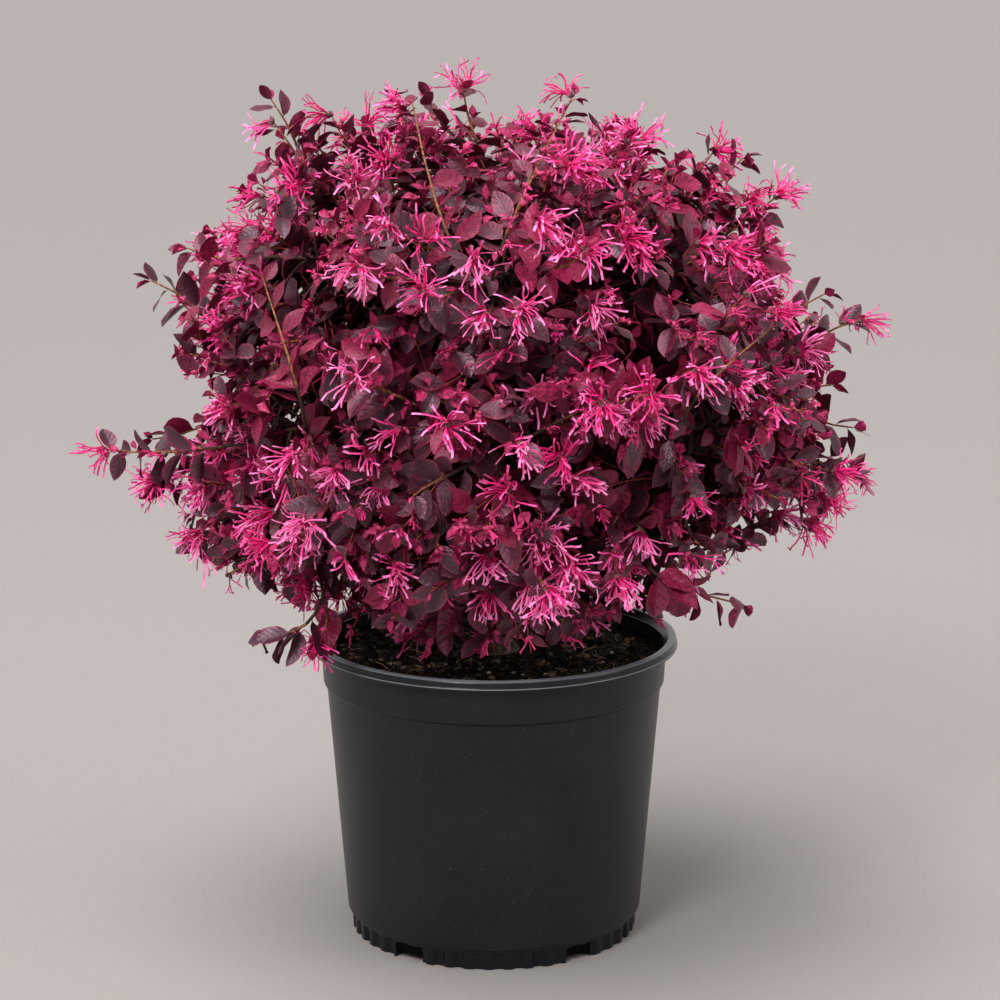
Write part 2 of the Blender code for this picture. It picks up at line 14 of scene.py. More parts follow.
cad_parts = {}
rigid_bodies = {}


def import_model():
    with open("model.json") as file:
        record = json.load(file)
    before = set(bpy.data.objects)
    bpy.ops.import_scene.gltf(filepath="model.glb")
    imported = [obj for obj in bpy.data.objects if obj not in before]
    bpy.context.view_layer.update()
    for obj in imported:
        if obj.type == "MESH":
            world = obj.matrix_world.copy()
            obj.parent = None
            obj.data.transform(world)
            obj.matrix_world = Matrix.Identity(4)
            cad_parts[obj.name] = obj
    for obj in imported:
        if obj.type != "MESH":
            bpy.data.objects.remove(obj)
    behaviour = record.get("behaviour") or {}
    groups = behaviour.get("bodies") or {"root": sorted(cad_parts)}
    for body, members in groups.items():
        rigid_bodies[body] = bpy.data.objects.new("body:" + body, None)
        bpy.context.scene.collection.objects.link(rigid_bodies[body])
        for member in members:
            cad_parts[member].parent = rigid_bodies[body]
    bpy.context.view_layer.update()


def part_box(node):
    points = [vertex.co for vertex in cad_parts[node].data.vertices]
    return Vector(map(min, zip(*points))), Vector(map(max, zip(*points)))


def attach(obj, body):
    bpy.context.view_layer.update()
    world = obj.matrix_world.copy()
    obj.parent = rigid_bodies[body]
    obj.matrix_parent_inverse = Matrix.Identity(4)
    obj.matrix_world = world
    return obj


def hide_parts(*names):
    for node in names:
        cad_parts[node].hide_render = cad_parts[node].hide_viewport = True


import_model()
POT_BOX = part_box("pot")
SOIL_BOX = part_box("soil")
STEM_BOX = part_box("stem")

SEED = 17
GAP = 0.0003
UP = Vector((0, 0, 1))
BODY = "root"

# Camera of the photo
CAMERA_PLACE = (0.0047, -2.234, 0.821)
CAMERA_TILT = math.radians(12.29)
LENS = 108.9
SENSOR = 36

# Pot: outside of the turned wall, as in the solids
POT_HEIGHT = POT_BOX[1].z
RIM_RADIUS = POT_BOX[1].x
FOOT_RADIUS = 0.1095
FOOT_TOP_RADIUS = 0.1107
FOOT_HEIGHT = 0.0155
LEDGE = 0.001
WALL_LOW_RADIUS = 0.113
WALL_HIGH_RADIUS = 0.1275
BAND_Z = 0.196
BAND_LOW_RADIUS = 0.130
BAND_HIGH_RADIUS = 0.1315
WALL_THICKNESS = 0.0022
FLOOR_THICKNESS = 0.0042
RIM_DEPTH = 0.0075
RIM_WIDTH = 0.0068
RIM_ROUND = 0.0026
BEAD_HEIGHT = 0.0022
RIM_GROOVE = 0.0008
POT_EDGE = 0.0009
EDGE_STEPS = 4
EDGE_MOST = 0.48
# Width of the lines of painted highlight on the rim
HIGHLIGHT_LINE_WIDTH = 0.0005
SHARP_EDGE = math.radians(42)
FLUTES = 45
SIDES_PER_FLUTE = 6
FLUTE_DEPTHS = (0.0002, 0.0036)
FLUTE_TOP = 0.0130
FLUTE_CHANGES = 5
FLUTE_STEEPNESS = 3
DRAINS = 5
DRAIN_WIDTH = 0.024
DRAIN_HEIGHT = 0.012
DRAIN_DEPTH = 0.014
DRAIN_ROUND = 0.002
DRAIN_TURN = math.radians(-54)

# Potting mix
SOIL_TOP = SOIL_BOX[1].z
SOIL_RADIUS = SOIL_BOX[1].x
SOIL_SIDES = 160
SOIL_RINGS = 60
SOIL_EDGE = 0.75
SOIL_EDGE_DROP = 0.002
SOIL_RELIEF = 0.0022
SOIL_DIP = 0.8
SOIL_LUMPS = ((55, 0, 0.60), (170, 3, 0.36), (480, 9, 0.45))  # scale, layer of the noise, height
# Height below which the mix is near-black: painted shade low in the pot
MIX_SHADE_HEIGHT = 0.06
CHIPS = 620
CHIP_SIZES = (0.0012, 0.0048)
CHIP_ROUGHNESS = 0.28
FIBRES = 70
FIBRE_LENGTHS = (0.006, 0.016)
FIBRE_RADII = (0.00045, 0.0003)
FIBRE_SIDE = (-55, 22)  # turn and spread in degrees
MOSS_TUFTS = 170
MOSS_SIZES = (0.0009, 0.0021)
MOSS_TURNS = (-120, -62, -62)
MOSS_SPREAD = 14
FALLEN_PETALS = 12
FALLEN_SIDE = (-88, 12, 0.93)  # turn and spread in degrees, furthest out

# Chips on the mix: name, share, flatness and size against the others
CHIP_KINDS = (
    ("bark_chips", 0.22, 0.5, 1.0),
    ("dark_chips", 0.54, 0.5, 1.0),
    ("pale_grit", 0.24, 0.75, 0.42),
)

# Stem and boughs, as in the solids
STEM_SIDES = 10
STEM_FLARE_RADIUS = 0.0195
STEM_RADIUS = 0.0112
STEM_FLARE_HEIGHT = 0.016
KNOB_RADIUS = 0.0145
KNOB = Vector((0.003, 0.0, 0.2535))
FORK_RISE = math.radians(47)
SIDE_STARTS = (0.55, 0.45, 0.65, 0.35, 0.75, 0.28)
BOUGH_SIDES = 5
BOUGH_RINGS = 6
MAIN_RADIUS = 0.0042
MAIN_TIP_RADIUS = 0.0028
SIDE_RADIUS = 0.0032
SIDE_TIP_RADIUS = 0.0025
BOUGH_CROOK = 0.004
BARK_SIDES = 14
BARK_STEP = 0.0024
STEM_STEPS = 6
RIDGE_SIZES = (1.6, 4.32)
RIDGE_STRETCH = 0.16
RIDGE_FINER = 2.7
LIMBS_APART = 7.3
FOLD_SIZES = (2.2, 6.0)
FOLD_HEIGHTS = (0.10, 0.05)
FOLD_STRETCH = (15.0, 60.0)
BARK_RELIEF = 0.10

# Crown: a rounded body about CENTRE, wider than it is tall, as in the solids
CENTRE = Vector((0.006, 0.0, 0.405))
HALF_WIDTH = 0.268
HALF_DEPTH = 0.260
HALF_UP = 0.234
HALF_DOWN = 0.188
SHOULDER = 2.8
BELLY = 2.4
BODY_LIMIT = 0.985
PETAL_LIMIT = 1.02
SPRIG_LIMIT = 1.06
MASS_START = 0.50
MASS_MIDDLE = 0.74
RIM_ROOM = 0.002
SOIL_ROOM = 0.003
LIMB_ROOM = 0.003

# Hollows and swellings of the crown's outside: turn, height angle, width in turn and in height, all in
# degrees, and depth
DENTS = (
    (180, 4, 26, 5, 0.28),
    (180, 14, 20, 5, -0.06),
    (180, 36, 24, 5, 0.04),
    (180, 51, 20, 6, -0.07),
    (180, 65, 20, 5, 0.04),
    (180, -17, 22, 7, -0.05),
    (180, -28, 30, 6, 0.05),
    (180, -44, 30, 7, -0.05),
    (0, 23, 26, 7, 0.17),
    (0, 47, 20, 6, -0.02),
    (0, 72, 24, 7, 0.07),
    (0, 88, 60, 8, 0.20),
    (0, 3, 20, 4, 0.06),
    (0, -12, 24, 7, -0.12),
    (0, -31, 42, 10, 0.46),
    (-60, 30, 14, 8, 0.10),
    (-112, 4, 12, 8, 0.10),
    (-72, -14, 12, 7, 0.08),
    (92, 36, 25, 9, 0.14),
    (60, 0, 20, 8, 0.12),
    (122, -18, 22, 9, 0.14),
)

# Lower edge of the crown: its height at the axis, its rise outward, and its dips and lifts, each with
# a turn and a width in degrees and a height
SKIRT_HEIGHT = 0.209
SKIRT_RISE = 0.30
SKIRT_WAVES = (
    (-84, 18, -0.030),
    (-46, 22, 0.008),
    (-128, 18, 0.004),
    (30, 22, -0.012),
    (95, 25, 0.012),
    (150, 20, -0.012),
)

# Rings of foliage masses: name, number, height angle, turn of the first one, all in degrees
RINGS = (
    ("low", 6, -33, -90),
    ("middle", 7, 2, -90),
    ("upper", 6, 38, -90),
    ("top", 1, 88, -90),
)
PLACES = ("right", "back_right", "back", "back_left", "left", "front_left", "front", "front_right")

# Sprigs that stand out of the crown: what ends them, the place of their tip, and for those that lie along
# its outside the place where they come out
SPRIGS = (
    ("blossom", (-0.300, -0.020, 0.377), (-0.211, -0.100, 0.393)),
    ("leaf", (-0.262, -0.030, 0.382)),
    ("leaf", (-0.259, -0.040, 0.345)),
    ("leaf", (-0.262, 0.000, 0.510)),
    ("leaf", (-0.234, -0.030, 0.530)),
    ("leaf", (-0.168, 0.020, 0.643)),
    ("leaf", (-0.165, -0.130, 0.533), (-0.131, -0.210, 0.450)),
    ("blossom", (-0.086, -0.120, 0.600)),
    ("blossom", (-0.079, -0.030, 0.641)),
    ("leaf", (-0.060, -0.060, 0.645), (-0.026, -0.200, 0.551)),
    ("leaf", (-0.056, 0.000, 0.645)),
    ("blossom", (-0.030, 0.010, 0.658)),
    ("blossom", (0.062, -0.030, 0.650), (0.005, -0.200, 0.551)),
    ("leaf", (0.108, 0.000, 0.613)),
    ("blossom", (0.168, 0.020, 0.608)),
    ("leaf", (0.190, 0.010, 0.598)),
    ("blossom", (0.218, -0.030, 0.576)),
    ("leaf", (0.200, -0.130, 0.491), (0.133, -0.230, 0.450)),
    ("leaf", (0.252, 0.000, 0.500)),
    ("blossom", (0.288, 0.010, 0.480)),
    ("leaf", (0.250, -0.020, 0.454)),
    ("leaf", (0.258, -0.030, 0.428)),
    ("leaf", (0.276, -0.030, 0.392)),
    ("blossom", (0.262, -0.060, 0.364)),
    ("leaf", (0.254, -0.040, 0.362)),
    ("blossom", (0.246, -0.070, 0.342)),
    ("leaf", (0.190, -0.060, 0.320), (0.138, -0.160, 0.345)),
    ("leaf", (0.190, -0.090, 0.273), (0.114, -0.170, 0.318)),
    ("leaf", (-0.180, -0.105, 0.254), (-0.130, -0.140, 0.278)),
    ("blossom", (-0.125, -0.150, 0.250)),
    ("leaf", (-0.236, -0.030, 0.310)),
    ("blossom", (-0.258, -0.050, 0.348)),
    ("blossom", (-0.232, -0.060, 0.328)),
    ("leaf", (-0.060, -0.284, 0.395)),
    ("blossom", (0.120, -0.268, 0.470)),
    ("leaf", (0.090, 0.286, 0.420)),
    ("blossom", (-0.140, 0.262, 0.470)),
    ("blossom", (0.030, 0.170, 0.600)),
    ("leaf", (-0.060, 0.220, 0.262)),
    ("leaf", (0.190, 0.120, 0.500), (0.120, 0.220, 0.440)),
    ("leaf", (-0.080, 0.060, 0.640), (-0.040, 0.190, 0.550)),
)

# The front's clearest heads of flowers: turn and height angle in degrees, and how far out they stand
HEADS = (
    (-112, 36),
    (-116, 29),
    (-96, 31),
    (-104, 25),
    (-93, 22),
    (-115, 15),
    (-100, 9),
    (-83, 38),
    (-74, 32),
    (-87, 22),
    (-73, 12),
    (-62, 16),
    (-87, 6),
    (-82, -17),
    (-120, 2),
)
HEAD_REACH = 1.05

# Twigs of a mass branch from its stalk, shoots branch from the twigs, spurs sit in the axils of leaves
STALK_RINGS = 7
STALK_RADIUS = 0.0021
STALK_BARE = 0.45
TWIGS = 12
TWIG_RINGS = 8
TWIG_RADIUS = 0.0012
TWIG_MIDDLE_RADIUS = 0.0009
TWIG_TIP_RADIUS = 0.0006
TWIG_SPREAD = math.radians(34)
TWIG_ENDS = (0.72, 0.97)
INNER_TWIGS = 8
INNER_ENDS = (0.40, 0.68)
TWIG_ROOTS = (0.08, 0.98)
SPRIG_ROOTS = (0.5, 0.98)
GOLDEN_ANGLE = math.pi * (3 - math.sqrt(5))
SHOOT_STEP = 0.017
SHOOT_ZONE = (0.20, 0.88)
SHOOT_LENGTHS = (0.028, 0.064)
SHOOT_RINGS = 5
SHOOT_LEANS = ((0.5, 0.9), (0.7, 1.1), (-0.3, 0.5))  # to the side, forward, outward
SHOOT_RISES = (-0.25, 0.3)
TOP_RISE = 0.4
SHOOT_OUT = 0.5
SHOOT_SHRINK = (1.15, 0.5)  # length at the twig's root, and what it loses to the tip
MASS_PULL = 0.4
SPRIG_RADIUS = 0.0016
SPRIG_BARE = 0.35
LONG_SPRIG_BARE = 0.45
SPRIG_LEAF_STEP = 0.010
SPRIG_LEAVES = (0.025, 0.034)
SPRIG_LEAF_ROOM = 0.10
SPRIG_LEAF_WAY = (0.8, 0.7, 0.25)  # to the side, forward, any way
SHOOT_RADIUS = 0.0007
SHOOT_TIP_RADIUS = 0.0005
STALK_SIDES = 8
TWIG_SIDES = 5
SHOOT_SIDES = 3

# Leaves: blade outline, and how they stand on a shoot
LEAF_STEP = 0.0095
LEAF_LENGTHS = (0.021, 0.034)
LEAF_SIDE = (0.6, 1.0)
LEAF_FORWARD = (0.35, 0.8)
LEAF_STRAY = 0.3
LEAF_FACING = (0.60, 0.55, 0.75)  # outward, up, any way
LEAF_MIDDLE = 0.55
TIP_SHRINK = 0.40
YOUNG_LENGTHS = (0.007, 0.014)
LEAF_WIDTH = 0.58
PETIOLE = 0.10
PETIOLE_WIDTH = 0.07
TIP_WIDTH = 0.02
WIDTH_RISE = 0.72
WIDTH_FALL = 0.80
YOUNG_CRUMPLE = 2.4
VEINS = 6
VEIN_SLANT = 0.24
SIDE_VEIN_SLOPE = 4.5
MIDRIB_SLOPE = 7.0
LEAF_FOLDS = (0.05, 0.50)
LEAF_CUPS = (-0.30, 0.35)
LEAF_BENDS = (-0.08, 0.36)
LEAF_WAVE = 0.035
LEAF_WAVES = 1.4
LEAF_WIDTHS = (0.84, 1.12)
LEAF_SWERVE = 0.12
LEAF_TWIST = 0.25
LEAF_DROOP = (0.0, 0.50)
LOW_DROOP = 0.7
# Sprays below LOW_PART or deeper than DEEP_PART: DARK_SHARE of them take a darker tint, as painted shade
LOW_PART = 0.365
DEEP_PART = 0.86
DARK_SHARE = 0.68
DEEP_INSIDE = 0.74
SHADED = 0.70

# Rows and columns of points on a leaf, from the outermost leaves inward: above which depth in the crown
LEAF_GRADES = (
    (0.93, 11, 5),
    (DEEP_INSIDE, 7, 5),
    (0.0, 5, 3),
)
YOUNG_GRADE = (4, 3)

# Blossoms: flowers of four straps round a knot, at a shoot's end or on a spur; a head is a wide one or a
# small one, each with its least and most flowers and strap lengths
BLOSSOM_SHARE = 0.22
WIDE_SHARE = 0.40
WIDE_HEAD = ((5, 8), (0.019, 0.028))
SMALL_HEAD = ((2, 3), (0.013, 0.020))
HEAD_WAY = (0.30, 0.80, 0.50, -0.30)  # forward, outward, any way, up
FLOWER_STRAY = 0.80
FLOWER_ROOM = 0.8
BUD_SHARE = 0.68
SPUR_BLOSSOM_SHARE = 0.045
SPUR_BUD_SHARE = 0.33
SPUR_LEAF_SHARE = 0.30
SPUR_LENGTHS = (0.003, 0.007)
SPUR_WAY = (0.4, 0.7, 0.5)  # forward, outward, any way
BUDS = (2, 5)
BUD_STRAY = 0.9
CURLS = (2, 5)
TUFT_LEAVES = (1, 2)
TUFT_STRAY = 0.8
STRAPS = 4
STRAP_WIDTH = 0.0015
STRAP_ROWS = 9
BASE_ROWS = 3
TIP_ROWS = 3
WEDGES = (0.10, 0.24)
WEDGE_OPENS = 2.6
STRAP_DROOPS = (0.1, 0.9)
STRAP_STRAYS = (0.05, 0.30)  # at the foot and at the end
STRAP_SPACING = 0.4
STRAP_SWELL = (0.72, 0.38)  # width at the foot, and what it gains to the end
STRAP_WIDTHS = (0.75, 1.25)
STRAP_TURN = 0.35
CURL_ROWS = 4
CURL_LENGTHS = (0.005, 0.012)
CURL_WIDTH = 0.0012
STRAP_WOBBLE = 0.13
STRAP_KINK = 0.85
KINK_SHARE = 0.26
CHANNEL = 0.9
NOTCH = 1.0
KNOT_RADIUS = 0.0016
KNOT_SIZES = (0.8, 1.3)
KNOT_STANDS = 1.4
KNOT_LONG = 1.5
KNOT_ROUGHNESS = 0.20
BUD_LONG = 1.9
BUD_ROUGHNESS = 0.12
BUD_RADII = (0.0010, 0.0017)

# Leaf tints, dealt out by spray: name, colour, gloss, share
LEAF_TINTS = (
    ("leaves_dark", (0.068, 0.016, 0.030), 0.62, 0.30),
    ("leaves_plum", (0.122, 0.012, 0.034), 0.50, 0.31),
    ("leaves_wine", (0.205, 0.010, 0.042), 0.38, 0.25),
    ("leaves_claret", (0.300, 0.013, 0.064), 0.30, 0.14),
)
SHADED_TINT = ("leaves_shaded", (0.030, 0.002, 0.007), 0.10)
YOUNG_TINT = ("leaves_young", (0.470, 0.030, 0.125), 0.24)
PETAL_TINTS = (
    ("petals_magenta", (0.800, 0.020, 0.210), 0.42),
    ("petals_pink", (0.850, 0.055, 0.290), 0.38),
    ("petals_light", (0.880, 0.130, 0.395), 0.20),
)
PETAL_BASE = ("petal_bases", (0.640, 0.009, 0.140))
PETAL_TIPS = (("petal_tips_pink", (0.880, 0.100, 0.360)), ("petal_tips_pale", (0.920, 0.230, 0.510)))
BUD_TINT = ("flower_buds", (0.460, 0.042, 0.135))
CURL_TINT = ("young_curls", (0.700, 0.032, 0.190))
LEAF_EDGE = (0.220, 0.012, 0.046)
LEAF_SHEEN = (1.0, 0.73, 0.88, 1.0)
LEAF_SHADES = (0.62, 1.50)  # the dullest and the brightest leaf
LEAF_GRAIN_SHADE = 0.36
# How dark the sunken veins are painted: painted shade
LEAF_VEIN_PAINTED_SHADE = 0.70

# Black plastic: plain, under its film of dust, its specks, and its lines of painted highlight on the rim's
# edges
PLASTIC = (0.0052, 0.0062, 0.0090)
PLASTIC_FILM = (0.0105, 0.0115, 0.0140)
PLASTIC_SPECK = (0.055, 0.054, 0.055)
PLASTIC_HIGHLIGHT = (0.230, 0.245, 0.275)
# How dark the foot is: painted contact shadow, and dirt
FOOT_SHADOW_AND_DIRT = 0.70
RIM_POLISH = 0.17

# Grainy looks: scale of the grain, then its dark, middle and light colour
GRAINS = {
    "limb_bark": (260, (0.040, 0.024, 0.018), (0.105, 0.066, 0.046), (0.210, 0.150, 0.115)),
    # Twigs inside the crown: near-black bark, painted shade
    "shaded_twig_bark": (380, (0.012, 0.006, 0.004), (0.030, 0.014, 0.009), (0.065, 0.032, 0.020)),
    "twig_bark": (380, (0.070, 0.024, 0.013), (0.190, 0.070, 0.030), (0.330, 0.150, 0.070)),
    "shoot_bark": (420, (0.120, 0.014, 0.018), (0.260, 0.040, 0.036), (0.400, 0.090, 0.065)),
    "calyx": (500, (0.070, 0.024, 0.030), (0.140, 0.060, 0.066), (0.250, 0.140, 0.145)),
    "straw_fibre": (500, (0.100, 0.055, 0.028), (0.260, 0.160, 0.085), (0.420, 0.300, 0.170)),
    "potting_mix": (330, (0.0008, 0.0006, 0.0005), (0.004, 0.0026, 0.002), (0.160, 0.105, 0.068)),
    "bark_chips": (320, (0.024, 0.012, 0.007), (0.130, 0.078, 0.048), (0.400, 0.270, 0.180)),
    "dark_chips": (320, (0.002, 0.0015, 0.001), (0.008, 0.005, 0.004), (0.040, 0.026, 0.019)),
    "pale_grit": (320, (0.120, 0.085, 0.055), (0.300, 0.230, 0.160), (0.560, 0.470, 0.360)),
    "moss": (700, (0.060, 0.070, 0.010), (0.180, 0.180, 0.028), (0.380, 0.350, 0.085)),
    "pale_floor": (900, (0.268, 0.247, 0.238), (0.286, 0.263, 0.254), (0.304, 0.280, 0.271)),
}
GRAIN_STEP = 0.18
# Near-black of the mix low in the pot: painted shade
MIX_SHADE = (0.0006, 0.0005, 0.0004)

# Finish of bark and of the mix: plain roughness, stretch of the grain, its first stop, roughness over the
# grain, depth and strength of the relief, gloss
BARK_FINISH = (0.80, (1, 1, 0.35), 0.32, (0.62, 0.92), (0.0006, 0.8), 0.20)
MIX_FINISH = (0.93, (1, 1, 1), 0.34, (0.80, 1.00), (0.0008, 0.9), 0.10)

# Lamps: name, kind, place, target, power, colour, and the sun's angle in degrees or the lamp's size
LAMPS = (
    ("overhead", "SUN", (-0.5, -0.4, 3.2), (0, 0, 0.35), 2.9, (1.0, 0.985, 0.96), 40),
    ("front", "AREA", (-1.3, -2.9, 2.8), (0, 0, 0.42), 98, (1.0, 0.99, 0.985), 1.3),
    ("side", "AREA", (2.8, -1.0, 1.4), (0, 0, 0.30), 20, (1.0, 1.0, 1.0), 1.6),
)
SKY_LOW = (0.67, 0.655, 0.64)
SKY_HIGH = (1.0, 1.0, 1.0)
SKY_STRENGTH = 0.90
FLOOR_HALF = 40.0


# Scene and mesh helpers

def unit(vectors):
    return vectors / np.linalg.norm(vectors, axis=-1, keepdims=True)


def add_object(name, points, faces, coat, smooth=True):
    """An object from an array of points and a list of face arrays, each of one number of corners."""
    mesh = bpy.data.meshes.new(name)
    corners = np.concatenate([group.ravel() for group in faces]).astype(np.int32)
    sizes = np.concatenate([np.full(len(group), group.shape[1]) for group in faces]).astype(np.int32)
    mesh.vertices.add(len(points))
    mesh.vertices.foreach_set("co", np.asarray(points, np.float32).ravel())
    mesh.loops.add(len(corners))
    mesh.loops.foreach_set("vertex_index", corners)
    mesh.polygons.add(len(sizes))
    mesh.polygons.foreach_set("loop_start", (np.cumsum(sizes) - sizes).astype(np.int32))
    mesh.update(calc_edges=True)
    mesh.validate()
    mesh.materials.append(coat)
    if smooth:
        mesh.shade_smooth()
    obj = bpy.data.objects.new(name, mesh)
    bpy.context.scene.collection.objects.link(obj)
    return obj


def settle(obj, nodes):
    """The piece rides on the part's one body and stands for the named solids, if there are any."""
    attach(obj, BODY)
    if nodes:
        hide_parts(*nodes)


def add_piece(name, shape, coat, nodes=(), smooth=True):
    """A settled object from (points, faces)."""
    obj = add_object(name, *shape, coat, smooth)
    settle(obj, nodes)
    return obj


def grid_faces(copies, rows, columns, closed=False):
    """Quads of many like grids of points, numbered copy by copy and row by row."""
    across = columns if closed else columns - 1
    row, column = np.meshgrid(np.arange(rows - 1), np.arange(across), indexing="ij")
    after = (column + 1) % columns
    low, high = row * columns, (row + 1) * columns
    one = np.stack([low + column, low + after, high + after, high + column], axis=-1).reshape(-1, 4)
    return (one[None] + (np.arange(copies) * rows * columns)[:, None, None]).reshape(-1, 4)


def by_corners(faces):
    """Faces sorted into an array of quads and an array of triangles."""
    return [np.array([face for face in faces if len(face) == count]) for count in (4, 3)]


def square_to(ways):
    """One unit vector square to each of many unit vectors."""
    helper = np.where(np.abs(ways[:, 2:]) < 0.9, [0, 0, 1.0], [1.0, 0, 0])
    return unit(np.cross(ways, helper))


def tube_points(paths, radii, sides):
    """Rings of points round many paths of one number of points, each ring turned as little as it can be."""
    along = unit(np.gradient(paths, axis=1))
    normal = square_to(along[:, 0])
    angles = (np.arange(sides) * math.tau / sides)[:, None]
    rings = []
    for index in range(paths.shape[1]):
        normal = unit(normal - along[:, index] * (normal * along[:, index]).sum(-1, keepdims=True))
        across = np.cross(along[:, index], normal)
        away = normal[:, None] * np.cos(angles) + across[:, None] * np.sin(angles)
        rings.append(paths[:, index, None] + away * radii[:, index, None, None])
    return np.stack(rings, axis=1)


def tube_faces(count, rings, sides):
    """Walls and both end caps of many tubes of one number of rings."""
    first = (np.arange(count) * rings * sides)[:, None]
    around = np.arange(sides)
    caps = np.concatenate([first + around[::-1], first + (rings - 1) * sides + around])
    return [grid_faces(count, rings, sides, closed=True), caps]


def tubes(paths, thick, thin, sides):
    """Points and faces of tubes along many paths, which taper from thick to thin and are closed."""
    paths = np.asarray(paths)
    count, rings = paths.shape[:2]
    share = np.linspace(0, 1, rings)
    radii = np.tile(thick * (1 - share) + thin * share, (count, 1))
    return tube_points(paths, radii, sides).reshape(-1, 3), tube_faces(count, rings, sides)


def columns_of(records, count):
    """The first columns of a list of records, each as an array."""
    return [np.array([record[index] for record in records]) for index in range(count)]


# Materials

def put(tree, socket, value):
    """Links a source to a socket, or sets the socket to a plain value."""
    if isinstance(value, bpy.types.NodeSocket):
        tree.links.new(value, socket)
    else:
        socket.default_value = value


def feed(tree, node, **inputs):
    """Puts values or sources into a node's inputs, which are named with _ for a space."""
    for name, value in inputs.items():
        put(tree, node.inputs[name.replace("_", " ")], value)
    return node


def add_node(tree, kind, **inputs):
    return feed(tree, tree.nodes.new("ShaderNode" + kind), **inputs)


def new_material(name, colour, roughness):
    made = bpy.data.materials.new(name)
    made.use_nodes = True
    shader = made.node_tree.nodes["Principled BSDF"]
    feed(made.node_tree, shader, Base_Color=(*colour, 1.0), Roughness=roughness)
    return made, made.node_tree, shader


def noise_node(tree, scale, detail=4.0, stretch=(1, 1, 1)):
    place = add_node(tree, "TexCoord").outputs["Object"]
    mapped = add_node(tree, "Mapping", Vector=place, Scale=stretch).outputs["Vector"]
    return add_node(tree, "TexNoise", Vector=mapped, Scale=scale, Detail=detail).outputs["Fac"]


def ramp(tree, source, stops):
    """A colour ramp over a 0 to 1 source; stops are (place, colour)."""
    made = add_node(tree, "ValToRGB", Fac=source)
    for _ in range(len(stops) - 2):
        made.color_ramp.elements.new(0.5)
    for element, (place, colour) in zip(made.color_ramp.elements, stops):
        element.position = place
        element.color = (*colour, 1.0)
    return made.outputs["Color"]


def level(tree, source, low, high):
    """A 0 to 1 source brought between two values."""
    return add_node(tree, "MapRange", Value=source, To_Min=low, To_Max=high).outputs["Result"]


def bump(tree, shader, source, depth, strength):
    made = add_node(tree, "Bump", Height=source, Distance=depth, Strength=strength)
    feed(tree, shader, Normal=made.outputs["Normal"])


def shade(colour, factor):
    return tuple(min(1.0, channel * factor) for channel in colour)


def math_node(tree, operation, first, second=0.0):
    """A Math node over a source and a number or a second source."""
    made = add_node(tree, "Math")
    made.operation = operation
    for socket, value in zip(made.inputs, (first, second)):
        put(tree, socket, value)
    return made.outputs["Value"]


def blend(tree, share, first, second):
    """The first colour where the share is 0 and the second where it is 1, each a colour or a source."""
    made = add_node(tree, "Mix")
    made.data_type = "RGBA"
    for name, value in (("Factor", share), ("A", first), ("B", second)):
        put(tree, made.inputs[name], (*value, 1.0) if isinstance(value, tuple) else value)
    return made.outputs["Result"]


def height_share(tree, low, high):
    """0 below one height on a piece and 1 above another."""
    place = add_node(tree, "TexCoord").outputs["Object"]
    height = add_node(tree, "SeparateXYZ", Vector=place).outputs["Z"]
    return add_node(tree, "MapRange", Value=height, From_Min=low, From_Max=high).outputs["Result"]


def blade_axes(tree):
    """Three values that a leaf carries: places across and along its blade, and how light the leaf is."""
    place = add_node(tree, "Attribute")
    place.attribute_name = "blade"
    return add_node(tree, "SeparateXYZ", Vector=place.outputs["Vector"]).outputs


def vein_pattern(tree, axes, across):
    """0 on a leaf's midrib and side veins and 1 between them."""
    along = math_node(tree, "SUBTRACT", axes["Y"], math_node(tree, "MULTIPLY", across, VEIN_SLANT))
    side = math_node(tree, "PINGPONG", math_node(tree, "MULTIPLY", along, float(VEINS)), 0.5)
    side_share = math_node(tree, "MULTIPLY", side, SIDE_VEIN_SLOPE)
    rib_share = math_node(tree, "MULTIPLY", across, MIDRIB_SLOPE)
    lowest = math_node(tree, "MINIMUM", side_share, rib_share)
    return math_node(tree, "MINIMUM", lowest, 1.0)


def band_share(tree, low, high, soft):
    """1 between two heights and 0 beyond them."""
    above = height_share(tree, low - soft, low)
    beyond = height_share(tree, high, high + soft)
    return math_node(tree, "SUBTRACT", above, beyond)


def leaf_material(name, colour, gloss):
    """A leathery leaf: mottled, redder at its edge, with painted shade on its sunken veins, and a soft gloss.
    """
    made, tree, shader = new_material(name, colour, 0.42)
    axes = blade_axes(tree)
    mottle = noise_node(tree, 420)
    dull, bright = (shade(colour, factor) for factor in LEAF_SHADES)
    grains = ramp(tree, mottle, [(0.38, (0, 0, 0)), (0.58, (1, 1, 1))])
    tint = blend(tree, axes["Z"], dull, bright)
    grained = blend(tree, grains, shade(colour, LEAF_GRAIN_SHADE), tint)
    across = math_node(tree, "ABSOLUTE", axes["X"])
    edged = blend(tree, math_node(tree, "POWER", across, 5.0), grained, LEAF_EDGE)
    veins = vein_pattern(tree, axes, across)
    # Darker sunken veins: painted shade
    vein_shaded = blend(tree, veins, shade(colour, LEAF_VEIN_PAINTED_SHADE), edged)
    raised = math_node(tree, "MULTIPLY", veins, 0.6)
    pitted = math_node(tree, "MULTIPLY", mottle, 1.6)
    bump(tree, shader, math_node(tree, "ADD", raised, pitted), 0.00028, 0.7)
    feed(tree, shader, Base_Color=vein_shaded, Roughness=level(tree, mottle, 0.24, 0.50))
    feed(tree, shader, Specular_IOR_Level=gloss, Specular_Tint=LEAF_SHEEN)
    return made


def petal_material(name, colour):
    made, tree, shader = new_material(name, colour, 0.5)
    streak = noise_node(tree, 420, 2)
    tint = ramp(tree, streak, [(0.30, shade(colour, 0.84)), (0.70, shade(colour, 1.14))])
    feed(tree, shader, Base_Color=tint, Roughness=level(tree, streak, 0.42, 0.60), Specular_IOR_Level=0.3)
    return made


